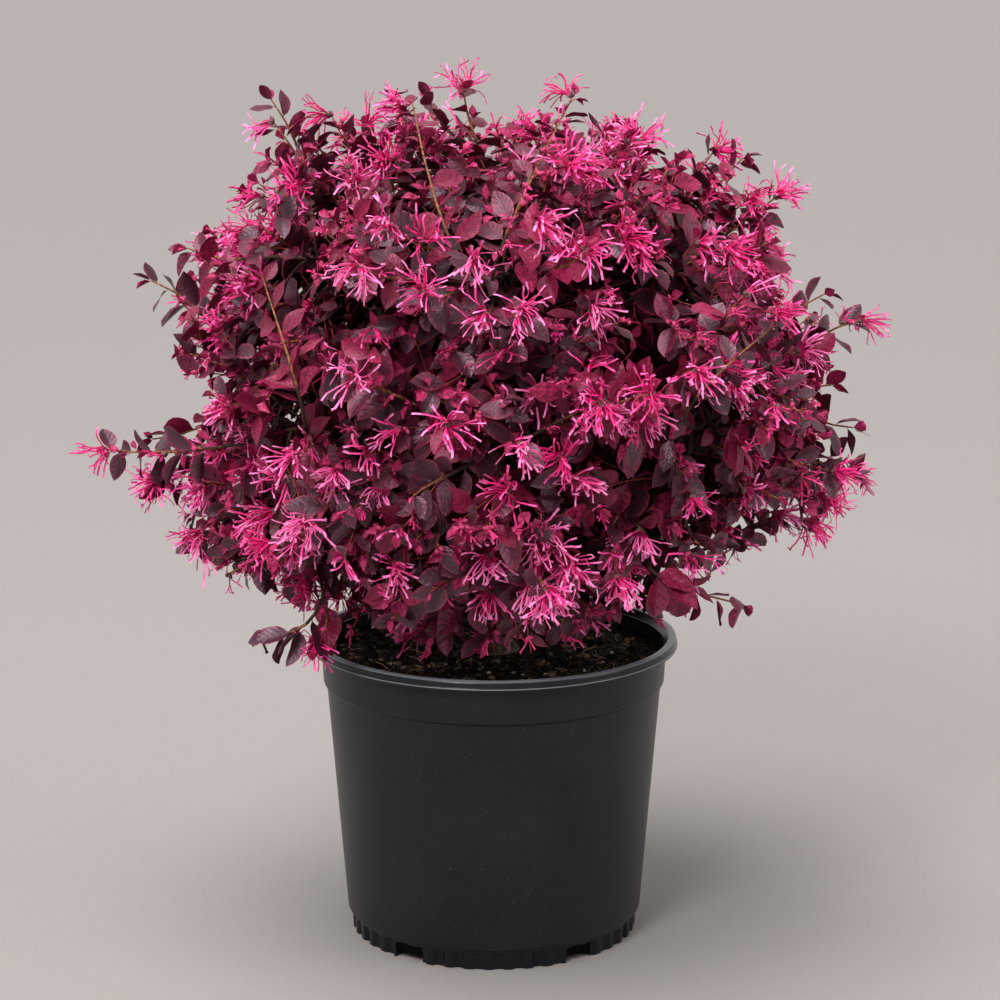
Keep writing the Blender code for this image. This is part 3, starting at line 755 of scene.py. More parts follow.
def plastic_material():
    """Satin black plastic: fine moulding grain, a thin film of dust, a few pale specks, a polished rim and
    lines of painted highlight on the rim's edges.
    """
    made, tree, shader = new_material("black_plastic", PLASTIC, 0.36)
    cloud = noise_node(tree, 14, 5)
    film = ramp(tree, cloud, [(0.30, PLASTIC), (0.74, PLASTIC_FILM)])
    specks = ramp(tree, noise_node(tree, 620, 1), [(0.72, (0, 0, 0)), (0.80, (1, 1, 1))])
    dusty = blend(tree, specks, film, PLASTIC_SPECK)
    # The foot is darker: painted contact shadow, and dirt
    foot = height_share(tree, 0.6 * FOOT_HEIGHT, FOOT_HEIGHT)
    darkened_foot = blend(tree, foot, shade(PLASTIC, FOOT_SHADOW_AND_DIRT), dusty)
    # Lighter lines on the rim's top edge and on its bead are painted highlight, broken a little by the cloud
    bead = POT_HEIGHT - RIM_DEPTH + BEAD_HEIGHT
    top_edge = height_share(tree, POT_HEIGHT - 2 * HIGHLIGHT_LINE_WIDTH, POT_HEIGHT - HIGHLIGHT_LINE_WIDTH)
    highlight_lines = math_node(tree, "MAXIMUM", top_edge, band_share(tree, bead - HIGHLIGHT_LINE_WIDTH, bead, HIGHLIGHT_LINE_WIDTH / 2))
    painted_highlight = math_node(tree, "MULTIPLY", highlight_lines, level(tree, cloud, 0.45, 1.0))
    coat = blend(tree, painted_highlight, darkened_foot, PLASTIC_HIGHLIGHT)
    rim = height_share(tree, POT_HEIGHT - 1.2 * RIM_DEPTH, POT_HEIGHT - RIM_DEPTH)
    polish = math_node(tree, "MULTIPLY", rim, RIM_POLISH)
    satin = math_node(tree, "SUBTRACT", level(tree, cloud, 0.32, 0.46), polish)
    feed(tree, shader, Base_Color=coat, Roughness=satin, Specular_IOR_Level=0.28)
    bump(tree, shader, noise_node(tree, 1400, 2), 0.00012, 0.5)
    return made


def grainy_material(name, finish, shade_below=None):
    """Grains in three colours, and a near-black painted shade below a height when one is given."""
    scale, *colours = GRAINS[name]
    plain, stretch, stop, roughness, relief, gloss = finish
    made, tree, shader = new_material(name, colours[1], plain)
    grain = noise_node(tree, scale, 6, stretch)
    tint = ramp(tree, grain, [(stop + GRAIN_STEP * index, colour) for index, colour in enumerate(colours)])
    # Near-black below the given height: painted shade
    if shade_below:
        tint = blend(tree, height_share(tree, shade_below / 2, shade_below), MIX_SHADE, tint)
    satin = level(tree, grain, *roughness)
    feed(tree, shader, Base_Color=tint, Roughness=satin, Specular_IOR_Level=gloss)
    bump(tree, shader, grain, *relief)
    return made


# The crown's rule, as in the solids

def heading(turn, height):
    """The unit direction at a turn about Z from +X and a height angle above level."""
    return Vector((math.cos(turn) * math.cos(height), math.sin(turn) * math.cos(height), math.sin(height)))


def reach(direction):
    """How far the body of the crown goes from CENTRE in a direction."""
    level_part = math.hypot(direction.x / HALF_WIDTH, direction.y / HALF_DEPTH)
    up = direction.z > 0
    power = SHOULDER if up else BELLY
    rise = abs(direction.z) / (HALF_UP if up else HALF_DOWN)
    return (level_part**power + rise**power) ** (-1 / power)


def shell(direction, fraction):
    return CENTRE + direction * reach(direction) * fraction


def depth_in_crown(point):
    """0 at the crown's centre and 1 on its outside."""
    away = point - CENTRE
    return away.length / reach(away.normalized()) if away.length > 0 else 0.0


def curve(start, leave, arrive, end, count, bend=0.36):
    """Points of a cubic curve that leaves and arrives along the given directions."""
    length = (end - start).length * bend
    near, far = start + leave * length, end - arrive * length
    found = []
    for step in range(count):
        t = step / (count - 1)
        s = 1 - t
        found.append(start * s**3 + near * 3 * s * s * t + far * 3 * s * t * t + end * t**3)
    return found


def bow(start, pull, end, count):
    """Points of an arc from start to end that is drawn towards a third place."""
    found = []
    for step in range(count):
        t = step / (count - 1)
        found.append(start * (1 - t) ** 2 + pull * 2 * t * (1 - t) + end * t * t)
    return found


def taper(thick, thin, count):
    return [thick + (thin - thick) * step / (count - 1) for step in range(count)]


def random_unit(rng):
    return heading(rng.uniform(0, math.tau), math.asin(rng.uniform(-1, 1)))


def stray(rng, way, most):
    """A direction near another one: the larger most is, the further it strays."""
    return (way + random_unit(rng) * most).normalized()


def mixed(weights, *ways):
    """The unit direction of several directions, each with its weight."""
    return sum((way * weight for weight, way in zip(weights, ways)), Vector()).normalized()


def lathe(profile, sides):
    """A solid turned about Z from (radius, height) points, from one pole up the outside to the other."""
    points = [Vector((0, 0, profile[0][1]))]
    for radius, height in profile[1:-1]:
        for side in range(sides):
            angle = math.tau * side / sides
            points.append(Vector((radius * math.cos(angle), radius * math.sin(angle), height)))
    points.append(Vector((0, 0, profile[-1][1])))
    last_ring = 1 + sides * (len(profile) - 3)
    faces = []
    for side in range(sides):
        after = (side + 1) % sides
        faces.append((0, 1 + after, 1 + side))
        for start in range(1, last_ring, sides):
            faces.append((start + side, start + after, start + sides + after, start + sides + side))
        faces.append((last_ring + side, last_ring + after, len(points) - 1))
    return points, faces


def limb(path, radii, sides, leave=None):
    """A closed limb along a path, its first ring square to leave and no ring turned more than it must be."""
    points, faces = [], []
    normal = (path[1] - path[0]).orthogonal().normalized()
    for index, centre in enumerate(path):
        before, after = path[max(index - 1, 0)], path[min(index + 1, len(path) - 1)]
        along = leave if leave and index == 0 else (after - before).normalized()
        normal = (normal - along * normal.dot(along)).normalized()
        across = along.cross(normal)
        for side in range(sides):
            angle = math.tau * side / sides
            away = normal * math.cos(angle) + across * math.sin(angle)
            points.append(centre + away * radii[index])
    for ring in range(len(path) - 1):
        for side in range(sides):
            after = (side + 1) % sides
            low, high = ring * sides, (ring + 1) * sides
            faces.append((low + side, low + after, high + after, high + side))
    top = (len(path) - 1) * sides
    faces.append(tuple(reversed(range(sides))))
    faces.append(tuple(range(top, top + sides)))
    return points, faces


def stem_profile():
    """Radius and height up the stem, from its foot to the top of the knob."""
    foot = SOIL_TOP + GAP
    profile = [(0, foot), (STEM_FLARE_RADIUS, foot)]
    for step in (1, 2, 3):
        share = step / 3
        radius = STEM_RADIUS + (STEM_FLARE_RADIUS - STEM_RADIUS) * (1 - share) ** 2
        profile.append((radius, foot + STEM_FLARE_HEIGHT * share))
    for angle in range(-30, 90, 15):
        radius = KNOB_RADIUS * math.cos(math.radians(angle))
        profile.append((radius, KNOB.z + KNOB_RADIUS * math.sin(math.radians(angle))))
    profile.append((0, KNOB.z + KNOB_RADIUS))
    return profile


def stem_lean(height):
    """How far the stem has leaned towards KNOB at a height, from 0 to 1."""
    foot = SOIL_TOP + GAP
    return min(1.0, (height - foot) / (KNOB.z - KNOB_RADIUS - foot))


def stem_shape(profile, sides, relief=None):
    """The leaning stem from a profile, with what a relief adds to its radius between the ends."""
    points, faces = lathe(profile, sides)
    for point in points:
        lean = stem_lean(point.z)
        inside = profile[0][1] < point.z < profile[-1][1]
        swell = 1 + relief(point) if relief and inside else 1
        point.x = point.x * swell + KNOB.x * lean
        point.y = point.y * swell + KNOB.y * lean
    return points, faces


def plain_stem():
    return stem_shape(stem_profile(), STEM_SIDES)


class Bough:
    """One tapering limb: where it starts and ends, its path, its shape and the direction of its tip."""

    def __init__(self, start, leave, end, arrive, thick, thin, rng):
        self.path = curve(start, leave, arrive, end, BOUGH_RINGS)
        for index in range(2, BOUGH_RINGS - 2):
            self.path[index] += random_unit(rng) * BOUGH_CROOK
        self.radii = taper(thick, thin, BOUGH_RINGS)
        self.tree = BVHTree.FromPolygons(*limb(self.path, self.radii, BOUGH_SIDES, leave))
        self.tip = self.path[-1]
        self.tip_direction = (self.path[-1] - self.path[-2]).normalized()

    def place(self, share):
        """Centre, direction and radius at a share of the way along."""
        spot = share * (BOUGH_RINGS - 1)
        low = min(int(spot), BOUGH_RINGS - 2)
        rest = spot - low
        centre = self.path[low].lerp(self.path[low + 1], rest)
        radius = self.radii[low] + (self.radii[low + 1] - self.radii[low]) * rest
        return centre, (self.path[low + 1] - self.path[low]).normalized(), radius


def mass_sites():
    """Name, ring, direction of each mass, in the order of RINGS."""
    found = []
    for ring, count, height, first in RINGS:
        for index in range(count):
            turn = first + 360 * index / count
            place = PLACES[round(turn / 45) % 8]
            name = ring if count == 1 else f"{ring}_{place}"
            found.append((name, ring, heading(math.radians(turn), math.radians(height))))
    return found


def main_bough(direction, rng):
    """A bough that starts on the knob and ends where its mass starts."""
    end = shell(direction, MASS_START)
    turn, height = math.atan2(direction.y, direction.x), math.asin(direction.z)
    leave = heading(turn, max(height, FORK_RISE))
    start = KNOB + leave * (KNOB_RADIUS + GAP)
    return Bough(start, leave, end, direction, MAIN_RADIUS, MAIN_TIP_RADIUS, rng)


def side_bough(direction, carriers, blocked, rng):
    """A bough that leaves a main one square to it, at the first place where it comes clear of the rest."""
    end = shell(direction, MASS_START)
    carriers = sorted(carriers, key=lambda bough: (bough.tip - end).length)
    for carrier in carriers[:3]:
        for share in SIDE_STARTS:
            centre, along, radius = carrier.place(share)
            towards = end - centre
            leave = (towards - along * towards.dot(along)).normalized()
            start = centre + leave * (radius + GAP)
            bough = Bough(start, leave, end, direction, SIDE_RADIUS, SIDE_TIP_RADIUS, rng)
            if not any(bough.tree.overlap(other) for other in blocked):
                return bough
    raise ValueError("a side bough finds no free way")


def make_boughs(sites, rng):
    boughs = {}
    for name, ring, direction in sites:
        if ring in ("middle", "top"):
            boughs[name] = main_bough(direction, rng)
    mains = list(boughs.values())
    blocked = [BVHTree.FromPolygons(*plain_stem())] + [bough.tree for bough in mains]
    for name, ring, direction in sites:
        if ring in ("low", "upper"):
            boughs[name] = side_bough(direction, mains, blocked, rng)
            blocked.append(boughs[name].tree)
    return boughs


# Growth: twigs, shoots, leaves and blossoms, gathered as records before any mesh is made

class Growth:
    """Everything that the twigs carry, each kind as a list of plain records."""

    def __init__(self, limbs, rng):
        self.limbs = limbs
        self.rng = rng
        self.twigs = []
        self.sprigs = []
        self.shoots = []
        self.spurs = []
        self.leaves = []
        self.shaded = []
        self.young = []
        self.straps = []
        self.curls = []
        self.knots = []
        self.buds = []

    def free(self, point, most):
        """True where there is room: in the crown, above its lower edge, and off pot, mix and limbs."""
        radius = math.hypot(point.x, point.y)
        in_sprig = most > PETAL_LIMIT
        if depth_in_crown(point) > most * (1.0 if in_sprig else dent(outward(point))):
            return False
        if point.z < skirt(point, radius) and not in_sprig:
            return False
        if point.z < POT_HEIGHT + RIM_ROOM and SOIL_RADIUS - RIM_WIDTH < radius < RIM_RADIUS + RIM_ROOM:
            return False
        if point.z < SOIL_TOP + SOIL_ROOM and radius < RIM_RADIUS + RIM_ROOM:
            return False
        return self.limbs.find_nearest(point, LIMB_ROOM)[0] is None


def dent(direction):
    """The share of the crown's reach in a direction: less in its hollows and more in its swellings."""
    turn = math.degrees(math.atan2(direction.y, direction.x))
    height = math.degrees(math.asin(max(-1.0, min(1.0, direction.z))))
    level_share = math.cos(math.radians(height))
    left = 1.0
    for middle, rise, turn_width, height_width, depth in DENTS:
        across = ((turn - middle + 180) % 360 - 180) * level_share / turn_width
        along = (height - rise) / height_width
        left -= depth * math.exp(-across * across - along * along)
    return left


def skirt(point, radius):
    """Height of the crown's lower edge at a point's turn and distance from the axis."""
    turn = math.degrees(math.atan2(point.y, point.x))
    height = SKIRT_HEIGHT + SKIRT_RISE * radius
    for middle, width, lift in SKIRT_WAVES:
        away = abs((turn - middle + 180) % 360 - 180) / width
        height += lift * math.exp(-away * away)
    return height


def point_on(path, share):
    """Place and direction at a share of the way along a path."""
    spot = share * (len(path) - 1)
    low = min(int(spot), len(path) - 2)
    return path[low].lerp(path[low + 1], spot - low), (path[low + 1] - path[low]).normalized()


def path_length(path):
    return sum((after - before).length for before, after in zip(path, path[1:]))


def outward(point):
    return (point - CENTRE).normalized()


def to_side(along, out, index):
    """Square to a shoot, to its left and its right in turn."""
    return along.cross(out).normalized() * (1 if index % 2 else -1)


def pick(rng, table):
    """The place of one entry of a table whose last column is its share."""
    draw = rng.random()
    for index, entry in enumerate(table):
        draw -= entry[-1]
        if draw < 0:
            return index
    return len(table) - 1


def pick_tint(rng, place):
    """A leaf tint for one spray, darker for more of the sprays in the crown's low or deep part, as painted
    shade.
    """
    tint = pick(rng, LEAF_TINTS)
    # Low or deep sprays in the crown get a darker tint: painted shade
    in_shade = place.z < LOW_PART or depth_in_crown(place) < DEEP_PART
    if in_shade and rng.random() < DARK_SHARE:
        tint = max(0, tint - 2)
    return tint


def twig_targets(direction, count, ends, rng):
    """Points at depths between the ends, spread evenly over one mass."""
    turn = direction.to_track_quat("Z", "X").to_matrix()
    first = rng.uniform(0, math.tau)
    found = []
    for index in range(count):
        spread = TWIG_SPREAD * math.sqrt((index + 0.3) / count)
        way = turn @ heading(first + GOLDEN_ANGLE * index, math.pi / 2 - spread)
        found.append(shell(way, rng.uniform(*ends) * dent(way)))
    return found


def add_leaf(growth, root, along, length, tint, most):
    """One leaf that faces out and up, its tip sinking a little, where there is room for it."""
    rng = growth.rng
    out = outward(root)
    droop = rng.uniform(*LEAF_DROOP) + LOW_DROOP * max(0.0, -out.z)
    way = (along - UP * droop).normalized()
    tip = root + way * length
    middle = root.lerp(tip, LEAF_MIDDLE)
    if not growth.free(tip, most) or not growth.free(middle, most):
        return
    facing = mixed(LEAF_FACING, out, UP, random_unit(rng))
    depth = depth_in_crown(middle)
    if tint is None:
        growth.young.append((root, way, facing, length))
    elif depth < SHADED:
        growth.shaded.append((root, way, facing, length))
    else:
        growth.leaves.append((root, way, facing, length, tint, depth))


def add_straps(rng, records, root, axis, count, lengths, width, tint):
    """Straps side by side in a narrow wedge about an axis, which open and sink towards their ends."""
    side = axis.orthogonal().normalized()
    side.rotate(Matrix.Rotation(rng.uniform(0, math.tau), 3, axis))
    wedge = rng.uniform(*WEDGES)
    droop = rng.uniform(*STRAP_DROOPS)
    near, far = STRAP_STRAYS
    for index in range(count):
        place = index - (count - 1) / 2
        start = stray(rng, axis + side * place * wedge, near)
        end = (axis + side * place * wedge * WEDGE_OPENS + random_unit(rng) * far - UP * droop).normalized()
        foot = root + side * place * width * STRAP_SPACING
        records.append((foot, start, end, side, rng.uniform(*lengths), width, tint))


def add_blossom(growth, tip, along, tint, most, wide=False):
    """A head of flowers on small knots, which hang out and down to one side like tassels."""
    rng = growth.rng
    flowers, lengths = WIDE_HEAD if wide or rng.random() < WIDE_SHARE else SMALL_HEAD
    head = mixed(HEAD_WAY, along, outward(tip), random_unit(rng), UP)
    for _ in range(rng.randint(*flowers)):
        axis = stray(rng, head, FLOWER_STRAY)
        root = tip + axis * KNOT_RADIUS * KNOT_STANDS
        growth.knots.append((root, axis, KNOT_RADIUS * rng.uniform(*KNOT_SIZES)))
        if growth.free(root + axis * lengths[1] * FLOWER_ROOM, most + PETAL_LIMIT - BODY_LIMIT):
            foot = root + axis * KNOT_RADIUS / 2
            add_straps(rng, growth.straps, foot, axis, STRAPS, lengths, STRAP_WIDTH, tint)


def add_buds(growth, tip, along):
    """A tight head of unopened flowers with a few short curled straps."""
    rng = growth.rng
    for _ in range(rng.randint(*BUDS)):
        axis = stray(rng, along, BUD_STRAY)
        growth.buds.append((tip + axis * BUD_RADII[1], axis, rng.uniform(*BUD_RADII)))
    axis = stray(rng, along, TUFT_STRAY)
    foot = tip + axis * BUD_RADII[1]
    add_straps(rng, growth.curls, foot, axis, rng.randint(*CURLS), CURL_LENGTHS, CURL_WIDTH, 0)


def add_tuft(growth, tip, along, most):
    """A few young leaves together."""
    rng = growth.rng
    for _ in range(rng.randint(*TUFT_LEAVES)):
        way = stray(rng, along, TUFT_STRAY)
        add_leaf(growth, tip, way, rng.uniform(*YOUNG_LENGTHS), None, most)


def end_shoot(growth, tip, along, most):
    """What a shoot ends in: a blossom or buds where it is near the light, always with young leaves."""
    rng = growth.rng
    if depth_in_crown(tip) > DEEP_INSIDE:
        if rng.random() < BLOSSOM_SHARE:
            add_blossom(growth, tip, along, pick(rng, PETAL_TINTS), most)
        elif rng.random() < BUD_SHARE:
            add_buds(growth, tip, along)
    add_tuft(growth, tip, along, most)


def add_spur(growth, root, along, most):
    """A short spur in a leaf's axil that carries a blossom, buds or young leaves."""
    rng = growth.rng
    draw = rng.random()
    if draw > SPUR_BLOSSOM_SHARE + SPUR_BUD_SHARE + SPUR_LEAF_SHARE:
        return
    way = mixed(SPUR_WAY, along, outward(root), random_unit(rng))
    tip = root + way * rng.uniform(*SPUR_LENGTHS)
    if not growth.free(tip, most):
        return
    growth.spurs.append([root, tip])
    if draw < SPUR_BLOSSOM_SHARE:
        add_blossom(growth, tip, way, pick(rng, PETAL_TINTS), most)
    elif draw < SPUR_BLOSSOM_SHARE + SPUR_BUD_SHARE:
        add_buds(growth, tip, way)
    else:
        add_tuft(growth, tip, way, most)


def dress_shoot(growth, path, tint, most, first=0.14):
    """Leaves in two rows along a shoot, smaller towards its tip, with spurs in the outer axils."""
    rng = growth.rng
    count = max(2, round(path_length(path) * (1 - first) / LEAF_STEP))
    for index in range(count):
        share = first + (1 - first) * (index + 0.3) / count
        root, along = point_on(path, min(share, 0.97))
        side = to_side(along, outward(root), index)
        weights = (rng.uniform(*LEAF_SIDE), rng.uniform(*LEAF_FORWARD), LEAF_STRAY)
        way = mixed(weights, side, along, random_unit(rng))
        length = rng.uniform(*LEAF_LENGTHS) * (1 - TIP_SHRINK * share**2)
        add_leaf(growth, root, way, length, tint, most)
        if depth_in_crown(root) > DEEP_INSIDE:
            add_spur(growth, root, along, most)


def grow_twig(growth, path, most):
    """Shoots to left and right along a twig, then its own leaves and end."""
    rng = growth.rng
    growth.twigs.append(path)
    low, high = SHOOT_ZONE
    longest, shrink = SHOOT_SHRINK
    count = max(1, round(path_length(path) * (high - low) / SHOOT_STEP))
    for index in range(count):
        share = low + (high - low) * (index + rng.uniform(0.2, 0.8)) / count
        root, along = point_on(path, share)
        out = outward(root)
        side = to_side(along, out, index)
        leave = mixed([rng.uniform(*ends) for ends in SHOOT_LEANS], side, along, out)
        length = rng.uniform(*SHOOT_LENGTHS) * (longest - shrink * share)
        rise = rng.uniform(*SHOOT_RISES) + TOP_RISE * max(0.0, out.z)
        arrive = mixed((1.0, SHOOT_OUT, rise), leave, out, UP)
        end = root + (leave + arrive).normalized() * length
        if growth.free(end, most):
            shoot = curve(root, leave, arrive, end, SHOOT_RINGS)
            growth.shoots.append(shoot)
            dress_shoot(growth, shoot, pick_tint(rng, end), most)
            end_shoot(growth, end, arrive, most)
    tip, along = point_on(path, 1.0)
    dress_shoot(growth, path, pick_tint(rng, tip), most, first=0.3)
    end_shoot(growth, tip, along, most)


def grow_sprig(growth, path, kind, bare, most):
    """A long twig that stands out of the crown: leaves in two rows, and a leaf or a blossom at its end."""
    rng = growth.rng
    growth.sprigs.append(path)
    tint = pick_tint(rng, path[-1])
    room = most + SPRIG_LEAF_ROOM
    count = max(2, round(path_length(path) * (1 - bare) / SPRIG_LEAF_STEP))
    for index in range(count):
        share = bare + (1 - bare) * (index + 0.5) / count
        root, along = point_on(path, share)
        side = to_side(along, outward(root), index)
        way = mixed(SPRIG_LEAF_WAY, side, along, random_unit(rng))
        length = rng.uniform(*SPRIG_LEAVES) * (1 - TIP_SHRINK * share**4)
        add_leaf(growth, root, way, length, tint, room)
        if kind == "blossom":
            add_spur(growth, root, along, room)
    tip, along = point_on(path, 1.0)
    add_tuft(growth, tip, along, room)
    if kind == "blossom":
        add_blossom(growth, tip, along, pick(rng, PETAL_TINTS), most, wide=True)
    else:
        add_leaf(growth, tip, along, SPRIG_LEAVES[0] * (1 - TIP_SHRINK), tint, room)


def grow_mass(growth, direction, bough, sprigs):
    """One mass: its stalk, then twigs to even places on the crown's outside and to its sprigs."""
    rng = growth.rng
    start = bough.tip + bough.tip_direction * GAP
    middle = shell(direction, MASS_MIDDLE)
    stalk = curve(start, bough.tip_direction, direction, middle, STALK_RINGS)

    def way_to(root, end):
        """A curve from the stalk to the end of a twig, which arrives square to the crown's outside."""
        leave = mixed((1.0, MASS_PULL), (end - root).normalized(), direction)
        return curve(root, leave, outward(end), end, TWIG_RINGS)

    dress_shoot(growth, stalk, pick_tint(rng, middle), BODY_LIMIT, first=STALK_BARE)
    targets = twig_targets(direction, TWIGS, TWIG_ENDS, rng)
    targets += twig_targets(direction, INNER_TWIGS, INNER_ENDS, rng)
    for target in targets:
        root, _ = point_on(stalk, rng.uniform(*TWIG_ROOTS))
        if growth.free(target, BODY_LIMIT):
            grow_twig(growth, way_to(root, target), BODY_LIMIT)
    for kind, tip, via in sprigs:
        root, _ = point_on(stalk, rng.uniform(*SPRIG_ROOTS))
        way = (tip - (via or middle)).normalized()
        end = tip - way * (WIDE_HEAD[1][0] if kind == "blossom" else SPRIG_LEAVES[0] / 2)
        most = max(depth_in_crown(tip), SPRIG_LIMIT)
        if via:
            arc = bow(root, via * 2 - (root + end) / 2, end, TWIG_RINGS)
            grow_sprig(growth, arc, kind, LONG_SPRIG_BARE, most)
        else:
            grow_sprig(growth, way_to(root, end), kind, SPRIG_BARE, most)
    return stalk


# Meshes of the plant

def leaf_rows(count):
    """Places of the rows of points along a leaf: the foot of its petiole, then its blade."""
    return np.concatenate([[0.0], np.linspace(PETIOLE, 1.0, count)])


def blade_width(rows):
    """Half width of the blade at each row, as a share of the widest."""
    share = np.clip((rows - PETIOLE) / (1 - PETIOLE), 0.0, 1.0)
    width = share**WIDTH_RISE * (1 - share) ** WIDTH_FALL
    widest = WIDTH_RISE / (WIDTH_RISE + WIDTH_FALL)
    width = np.maximum(width / (widest**WIDTH_RISE * (1 - widest) ** WIDTH_FALL), PETIOLE_WIDTH)
    width[-1] = TIP_WIDTH
    return width


def leaf_mesh(leaves, row_count, columns, rng, crumple=1.0):
    """Leaves folded along the midrib, cupped across, bent down their length and a little wavy at the edge."""
    count = len(leaves)
    root, along, facing, length = columns_of(leaves, 4)
    length = length[:, None, None]
    across = unit(np.cross(along, facing))
    up = np.cross(across, along)
    rows = leaf_rows(row_count)
    t, u = np.meshgrid(rows, np.linspace(-1.0, 1.0, columns), indexing="ij")
    width = blade_width(rows)[:, None]
    edge = np.abs(u)

    def each(low, high):
        return rng.uniform(low, high, (count, 1, 1))

    half = LEAF_WIDTH / 2 * each(*LEAF_WIDTHS) * length
    x = u * width * half + each(-LEAF_SWERVE, LEAF_SWERVE) * length * t**2
    y = length * t
    z = (each(*LEAF_FOLDS) * edge + each(*LEAF_CUPS) * edge**2) * width * half * crumple
    z = z - each(*LEAF_BENDS) * length * t**2
    z = z + each(-LEAF_TWIST, LEAF_TWIST) * u * width * half * t * crumple
    z = z + LEAF_WAVE * length * width * edge**2 * u * np.sin(math.tau * (LEAF_WAVES * t + each(0, 1)))
    points = root[:, None, None]
    for measure, way in ((x, across), (y, along), (z, up)):
        points = points + measure[..., None] * way[:, None, None]
    ones = np.ones_like(x)
    places = np.stack([u * ones, t * ones, each(0, 1) * ones], axis=-1)
    return points.reshape(-1, 3), [grid_faces(count, len(rows), columns)], places.reshape(-1, 3)


def join(shapes):
    """One array of points and one list of face arrays from several."""
    points, faces, start = [], [], 0
    for shape_points, shape_faces in shapes:
        points.append(shape_points)
        faces += [group + start for group in shape_faces]
        start += len(shape_points)
    return np.concatenate(points), faces


def add_leaves(name, colour, gloss, meshes, nodes):
    """One piece of leaves that keeps each point's place on its blade, for the veins."""
    coat = leaf_material(name, colour, gloss)
    obj = add_piece(name, join([mesh[:2] for mesh in meshes]), coat, nodes)
    blade = obj.data.attributes.new("blade", "FLOAT_VECTOR", "POINT")
    blade.data.foreach_set("vector", np.concatenate([mesh[2] for mesh in meshes]).ravel().astype(np.float32))


def make_leaves(growth, nodes):
    rng = np.random.default_rng(SEED)
    for tint, (name, colour, gloss, _) in enumerate(LEAF_TINTS):
        left = [leaf for leaf in growth.leaves if leaf[4] == tint]
        meshes = []
        for depth, row_count, columns in LEAF_GRADES:
            meshes.append(leaf_mesh([leaf for leaf in left if leaf[5] > depth], row_count, columns, rng))
            left = [leaf for leaf in left if leaf[5] <= depth]
        add_leaves(name, colour, gloss, meshes, nodes)
    add_leaves(*SHADED_TINT, [leaf_mesh(growth.shaded, *LEAF_GRADES[-1][1:], rng)], nodes)
    add_leaves(*YOUNG_TINT, [leaf_mesh(growth.young, *YOUNG_GRADE, rng, YOUNG_CRUMPLE)], nodes)


def strap_points(straps, rows, rng):
    """Rows of three points along each strap: a shallow channel, kinked, with a notched end."""
    count = len(straps)
    root, start, end, side, length, width = columns_of(straps, 6)
    share = np.linspace(0, 1, rows)[None, :, None]
    bends = rng.normal(0, STRAP_WOBBLE, (count, rows, 3))
    kinks = rng.normal(0, STRAP_KINK, (count, rows, 3)) * (rng.random((count, rows, 1)) < KINK_SHARE)
    turned = np.cumsum(bends + kinks * share, axis=1)
    way = unit(start[:, None] * (1 - share) + end[:, None] * share + turned)
    steps = way * length[:, None, None] / (rows - 1)
    middle = root[:, None] + np.cumsum(steps, axis=1) - steps[:, :1]
    face = unit(side + rng.normal(0, STRAP_TURN, (count, 3)))[:, None]
    across = unit(face - way * (face * way).sum(-1, keepdims=True))
    up = np.cross(across, way)
    swell = STRAP_SWELL[0] + STRAP_SWELL[1] * share**2
    half = width[:, None, None] / 2 * swell * rng.uniform(*STRAP_WIDTHS, (count, 1, 1))
    left = middle + (up * CHANNEL - across) * half
    right = middle + (up * CHANNEL + across) * half
    middle[:, -1] -= way[:, -1] * half[:, -1] * NOTCH
    return np.stack([left, middle, right], axis=2)


def strap_rows(points):
    """Points and faces of straps from their rows of three points."""
    return points.reshape(-1, 3), [grid_faces(len(points), points.shape[1], 3)]


def add_petals(name, colour, shapes, nodes):
    add_piece(name, join(shapes), petal_material(name, colour), nodes)


def make_petals(growth, nodes):
    """Straps in three stretches: a deep foot, a middle in the head's tint and a lighter end."""
    rng = np.random.default_rng(SEED + 1)
    first, last = BASE_ROWS - 1, STRAP_ROWS - TIP_ROWS
    bases, tips = [], ([], [])
    for tint, (name, colour, _) in enumerate(PETAL_TINTS):
        points = strap_points([strap for strap in growth.straps if strap[6] == tint], STRAP_ROWS, rng)
        bases.append(strap_rows(points[:, :first + 1]))
        tips[min(tint, 1)].append(strap_rows(points[:, last:]))
        add_petals(name, colour, [strap_rows(points[:, first:last + 1])], nodes)
    add_petals(*PETAL_BASE, bases, nodes)
    for (name, colour), shapes in zip(PETAL_TIPS, tips):
        add_petals(name, colour, shapes, nodes)
    add_petals(*CURL_TINT, [strap_rows(strap_points(growth.curls, CURL_ROWS, rng))], nodes)


def pebbles(places, rough, rng):
    """Many small round bodies: places holds (centre, axis, sizes across and along it) for each."""
    seed = bmesh.new()
    bmesh.ops.create_icosphere(seed, subdivisions=1, radius=1.0)
    ball = np.array([vert.co[:] for vert in seed.verts])
    faces = np.array([[vert.index for vert in face.verts] for face in seed.faces])
    seed.free()
    count = len(places)
    centre, axis, sizes = columns_of(places, 3)
    axis = unit(axis)
    across = square_to(axis)
    third = np.cross(axis, across)
    swell = 1 + rng.uniform(-rough, rough, (count, len(ball), 1))
    local = ball[None] * sizes[:, None] * swell
    points = centre[:, None]
    for index, way in enumerate((across, third, axis)):
        points = points + local[..., index, None] * way[:, None]
    numbered = faces[None] + (np.arange(count) * len(ball))[:, None, None]
    return points.reshape(-1, 3), [numbered.reshape(-1, 3)]


def make_knots(growth, nodes):
    """The knots that flowers stand on, and the closed buds."""
    rng = np.random.default_rng(SEED + 2)
    calyx = grainy_material("calyx", BARK_FINISH)
    kinds = (
        ("calyx_knots", growth.knots, KNOT_LONG, KNOT_ROUGHNESS, calyx),
        (BUD_TINT[0], growth.buds, BUD_LONG, BUD_ROUGHNESS, petal_material(*BUD_TINT)),
    )
    for name, records, long, rough, coat in kinds:
        bodies = [(root, axis, (radius, radius, radius * long)) for root, axis, radius in records]
        add_piece(name, pebbles(bodies, rough, rng), coat, nodes)


